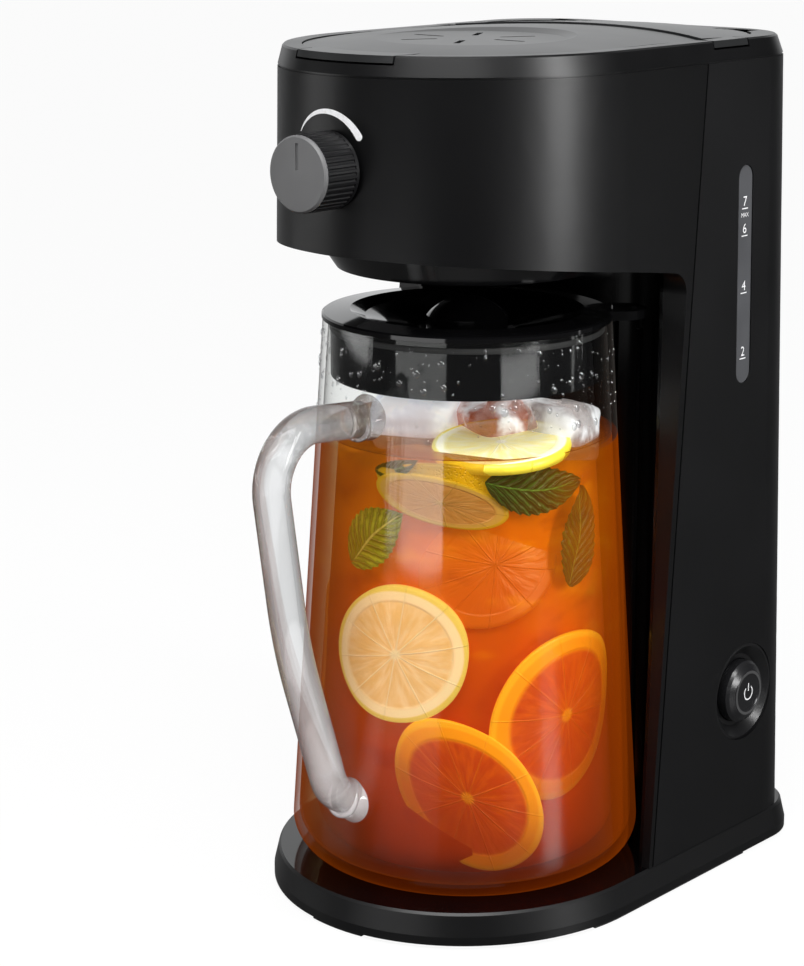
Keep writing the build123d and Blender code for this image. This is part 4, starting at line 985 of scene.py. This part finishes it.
ice_white = ice_finish("ice_white", (0.80, 0.84, 0.92), 0.75)
ice_amber = ice_finish("ice_amber", paint(146, 66, 30), 0.72)
ice_clear = ice_finish("ice_clear", (0.42, 0.40, 0.40), 0.35)
cubes = [
    ice_cube("ice_cube_left", ice_white, (-0.014, -0.014, 0.005), (0.017, 0.015, 0.012),
             20, 8, 0.4),
    ice_cube("ice_cube_middle", ice_amber, (0.014, 0.002, 0.003), (0.016, 0.014, 0.012),
             -25, 16, 1.7),
    ice_cube("ice_cube_right", ice_clear, (0.036, 0.014, 0.002), (0.015, 0.015, 0.012),
             10, -12, 2.9),
    ice_cube("ice_cube_back", ice_white, (-0.022, 0.030, 0.002), (0.015, 0.014, 0.012),
             40, 10, 4.1),
    ice_cube("ice_chip_low", ice_amber, (0.046, 0.012, -0.120), (0.006, 0.006, 0.005),
             35, 20, 5.3),
]
print("ice:", [piece.name for piece in cubes])

# %% [markdown]
# ## A slice on the surface
# One pale slice lies on the drink and catches the light, and glows a little too, a painted
# light. It is the same drawing as the slices at the wall, laid flat: rings of points with the
# drawing's coordinates kept.

# %% floating slice
def float_slice(name, material, spot, radius, turn, tilt, thick=0.004, rings=10, steps=64):
    place = afloat(spot, turn, tilt)
    section = [(i / rings, 0.0) for i in range(rings + 1)]
    section += [(1.02, -0.5)] + [(1.0 - i / rings, -1.0) for i in range(rings)]

    def lay(u, v, drop):
        return place @ Vector((u * radius, v * radius, drop * thick))

    return slice_piece(name, material, section, steps, lay, lambda a: 1.0)


lemon_bright = fruit_finish("lemon_on_top", paint(236, 214, 60), paint(255, 250, 214),
                            paint(248, 232, 150), paint(252, 244, 200), 0.30, (0.0, 0.0), 9, 0.4)
float_slice("lemon_slice_floating", lemon_bright, (0.031, -0.016, 0.0022), 0.027, 15, 7)
print("one slice floats")

# %% [markdown]
# ## Mint
# A mint leaf has a toothed edge, a fold along its middle rib, and quilted fields between the
# side veins. The shape is a grid of points: its width follows an arch with teeth on it, and
# the rib sits deeper than the edges. The veins are drawn by the finish from the leaf's own
# coordinates, along it and across it.

# %% mint
@finish
def mint_finish(graph, dark, light, vein):
    along, across, _ = graph.split(graph.add("UVMap", {"uv_map": "leaf"}))
    aside = abs(across)
    wander = graph.noise(260.0, 2.0)
    rib = 1 - graph.step(aside, 0.02, 0.07)
    beat = abs(graph.sum("SINE", (along * 9.0 - aside * 2.6 + 0.25 * wander) * pi))
    veins = (1 - graph.step(beat, 0.05, 0.30)) * (1 - 0.6 * aside)
    fields = graph.mix(dark, light, graph.step(beat * wander, 0.20, 0.75))
    lines = graph.sum("MAXIMUM", rib, veins * 0.7)
    tint = graph.mix(fields, vein, lines)
    # Painted light: the leaf glows a little.
    return graph.glowing(tint, 0.42, 0.16, graph.bump(beat - lines, 0.0009))


def mint_leaf(name, material, turn, height, length, width, roll, depth, curl, rows=44, half=7):
    """A leaf against the glass. roll turns it from pointing right, curl bends it along."""
    teeth = 11
    points, places = [], []
    for row in range(rows + 1):
        t = row / rows
        arch = sin(pi * t ** 0.85) ** 0.75 if 0 < t < 1 else 0.02
        tooth = (t * teeth) % 1.0
        breadth = width / 2 * (arch * (1 + 0.13 * (tooth - 0.5)) + 0.02)
        for column in range(-half, half + 1):
            s = column / half
            along = (t - 0.5) * length
            aside = s * breadth + curl * ((t - 0.5) ** 2) * length
            across = along * cos(roll) - aside * sin(roll)
            up = along * sin(roll) + aside * cos(roll)
            deep = depth + 0.0012 * (1 - abs(s)) + 0.0005 * sin(9 * t + 3 * s)
            points.append(on_wall(turn, height, across, up, max(deep, 0.0004)))
            places.append((t, s))
    faces = sheet_faces(rows, 2 * half + 1)
    return make_piece(name, points, faces, material, "jug", "leaf", places)


mint_dark = mint_finish("mint_dark", paint(0, 48, 6), paint(22, 100, 16), paint(80, 150, 60))
mint_shade = mint_finish("mint_shade", paint(16, 52, 6), paint(60, 98, 14), paint(110, 140, 50))
mint_pale = mint_finish("mint_pale", paint(110, 146, 20), paint(170, 196, 64),
                        paint(214, 226, 130))
leaves = [
    mint_leaf("mint_leaf_right", mint_dark, -22, 0.1770, 0.044, 0.019, -0.08, 0.0006, 0.25),
    mint_leaf("mint_leaf_hanging", mint_shade, -1, 0.1555, 0.040, 0.021, 1.35, 0.0010, 0.25),
    mint_leaf("mint_leaf_left", mint_pale, -88, 0.1575, 0.034, 0.022, 0.75, 0.0012, -0.2),
    mint_leaf("mint_leaf_top", mint_dark, -78, 0.1850, 0.020, 0.007, 0.30, 0.0010, 0.3),
]
print("leaves:", [piece.name for piece in leaves])

# %% [markdown]
# ## Drops on the glass
# Cold drinks gather dew, here on the empty upper part of the jug. Some hundreds of drops are
# one piece: each is a flat cap on the outside of the wall, drawn out a little downwards.
# Their places are random but seeded, so every run gives the same jug.

# %% drops
@finish
def dew_finish(graph):
    facing = graph.facing()
    see = graph.clear((0.86, 0.87, 0.88))
    shine = graph.add("BsdfGlossy", sockets={"Color": WHITE, "Roughness": 0.04})
    return graph.blend(0.10 + 0.85 * facing ** 1.6, see, shine)


def dew_drops(count, seed):
    chance = random.Random(seed)
    points, faces = [], []
    rows, steps = 4, 10
    lowest, band = 0.197, 0.036
    for _ in range(count):
        height = lowest + band * chance.random() ** 0.7
        turn = 2 * pi * chance.random()
        size = 0.0004 + 0.0012 * chance.random() ** 3
        start = len(points)
        wall = inner_wall(height) + GLASS
        for row in range(rows + 1):
            rise = pi / 2 * row / rows
            for i in range(steps):
                a = 2 * pi * i / steps
                drawn = 1.35 if sin(a) < 0 else 1.0
                up = size * cos(rise) * sin(a) * drawn
                angle = turn + size * cos(rise) * cos(a) / wall
                radius = wall + WALL_SLOPE * up + size * 0.45 * sin(rise) - 0.00002
                points.append((radius * cos(angle), AXIS_Y + radius * sin(angle), height + up))
        faces += ring_faces(rows, steps, start)
    return make_piece("dew_drops", points, faces, dew_finish("dew"), "jug")


drops = dew_drops(340, 11)
print("glass", round(GLASS * 1000, 2), "mm thick, drops:", len(drops.data.vertices) // 50)

# %% [markdown]
# ## Prints
# Three small white prints are on the machine: the crescent over the knob that stands for
# weak to strong, the marks beside the window, and the sign on the button. Each is a thin
# film a tenth of a millimetre above the part that carries it. Rays find that surface, so the
# crescent bends round the head as a real print does.

# %% prints
@finish
def print_finish(graph):
    wear = graph.noise(500.0, 3.0)
    tint = graph.mix((0.74, 0.74, 0.75), (0.84, 0.84, 0.85), graph.step(wear, 0.3, 0.6))
    return graph.solid(tint, 0.45 + 0.1 * wear, graph.bump(wear, 0.00001))


white_print = print_finish("white_print")
FILM = 0.00010


def crescent():
    """The strength mark: an arc that grows from a point to a round end."""
    head = tree_of("front_housing")
    knob_x, _, knob_z = middle("strength_knob")
    mid_x, mid_z, radius = knob_x - 0.0031, knob_z + 0.0034, 0.0181
    first, last, thin, thick = 149, 32, 0.0002, 0.0015
    sides = (-1, -0.33, 0.33, 1)
    edge, steps, caps = [], 40, 6
    for i in range(steps + 1):
        t = i / steps
        a = radians(first + (last - first) * t)
        half = thin + (thick - thin) * t ** 0.8
        edge.append([(mid_x + (radius + side * half) * cos(a),
                      mid_z + (radius + side * half) * sin(a)) for side in sides])
    a = radians(last)
    centre = Vector((mid_x + radius * cos(a), mid_z + radius * sin(a)))
    for j in range(1, caps + 1):
        swell = pi / 2 * j / caps
        tip = centre + Vector((sin(a), -cos(a))) * thick * sin(swell)
        reach = thick * max(cos(swell), 0.02)
        edge.append([(tip.x + side * reach * cos(a), tip.y + side * reach * sin(a))
                     for side in sides])
    points = []
    for row in edge:
        for x, z in row:
            surface_y = ray_hit(head, (x, -0.5, z), (0.0, 1.0, 0.0)).y
            points.append((x, surface_y - FILM, z))
    faces = sheet_faces(len(edge) - 1, len(sides))
    return make_piece("strength_crescent", points, faces, white_print, "machine")


def flat_text(words, size):
    """Points and faces of a line of text round its own middle."""
    curve = bpy.data.curves.new("words", "FONT")
    curve.body, curve.size = words, size
    curve.align_x, curve.align_y = "CENTER", "CENTER"
    holder = new_object("words", curve)
    mesh = holder.evaluated_get(bpy.context.evaluated_depsgraph_get()).to_mesh()
    points = [vertex.co.copy() for vertex in mesh.vertices]
    faces = [tuple(face.vertices) for face in mesh.polygons]
    bpy.data.objects.remove(holder)
    bpy.data.curves.remove(curve)
    return points, faces


def side_print(name, carrier, drawings, body):
    """Flat drawings pressed on the machine's right side. Each is (y, z, points, faces)."""
    tree = tree_of(carrier)
    points, faces = [], []
    for y, z, drawn, joins in drawings:
        start = len(points)
        for point in drawn:
            spot = (0.3, y + point.x, z + point.y)
            surface_x = ray_hit(tree, spot, (-1.0, 0.0, 0.0)).x
            points.append((surface_x + FILM, *spot[1:]))
        faces += [tuple(start + index for index in join) for join in joins]
    return make_piece(name, points, faces, white_print, body)


def bar(half_width, half_height):
    corners = [(-1, -1), (0, -1), (1, -1), (1, 1), (0, 1), (-1, 1)]
    points = [Vector((half_width * a, half_height * b, 0)) for a, b in corners]
    return points, [(0, 1, 4, 5), (1, 2, 3, 4)]


WINDOW_Y = middle("level_window")[1]
FIGURE, SMALL = 0.0056, 0.0025
marks = []
for words, z, size in (("7", 0.2796, FIGURE), ("6", 0.2685, FIGURE), ("4", 0.2451, FIGURE),
                       ("2", 0.2180, FIGURE), ("MAX", 0.2741, SMALL)):
    marks.append((WINDOW_Y, z, *flat_text(words, size)))
    if size == FIGURE:
        marks.append((WINDOW_Y, z - FIGURE / 2, *bar(0.0021, 0.00022)))
crescent()
side_print("window_marks", "level_window", marks, "machine")
print("window marks:", len(marks))

# %% sign on the button
def power_sign():
    """A ring with a gap at the top and a bar in the gap, the usual sign for on and off."""
    points = []
    steps, gap = 36, 76
    for i in range(steps + 1):
        a = radians(90 + gap / 2 + (360 - gap) * i / steps)
        for radius in (0.0026, 0.0032):
            points.append(Vector((radius * cos(a), radius * sin(a), 0)))
    faces = [(2 * i, 2 * i + 1, 2 * i + 3, 2 * i + 2) for i in range(steps)]
    stroke, joins = bar(0.0003, 0.0017)
    start = len(points)
    points += [point + Vector((0, 0.0025, 0)) for point in stroke]
    return points, faces + [tuple(start + index for index in join) for join in joins]


_, button_y, button_z = middle("power_button")
side_print("power_sign", "power_button", [(button_y, button_z, *power_sign())], "power_button")
print("sign at", round(button_y, 4), round(button_z, 4))
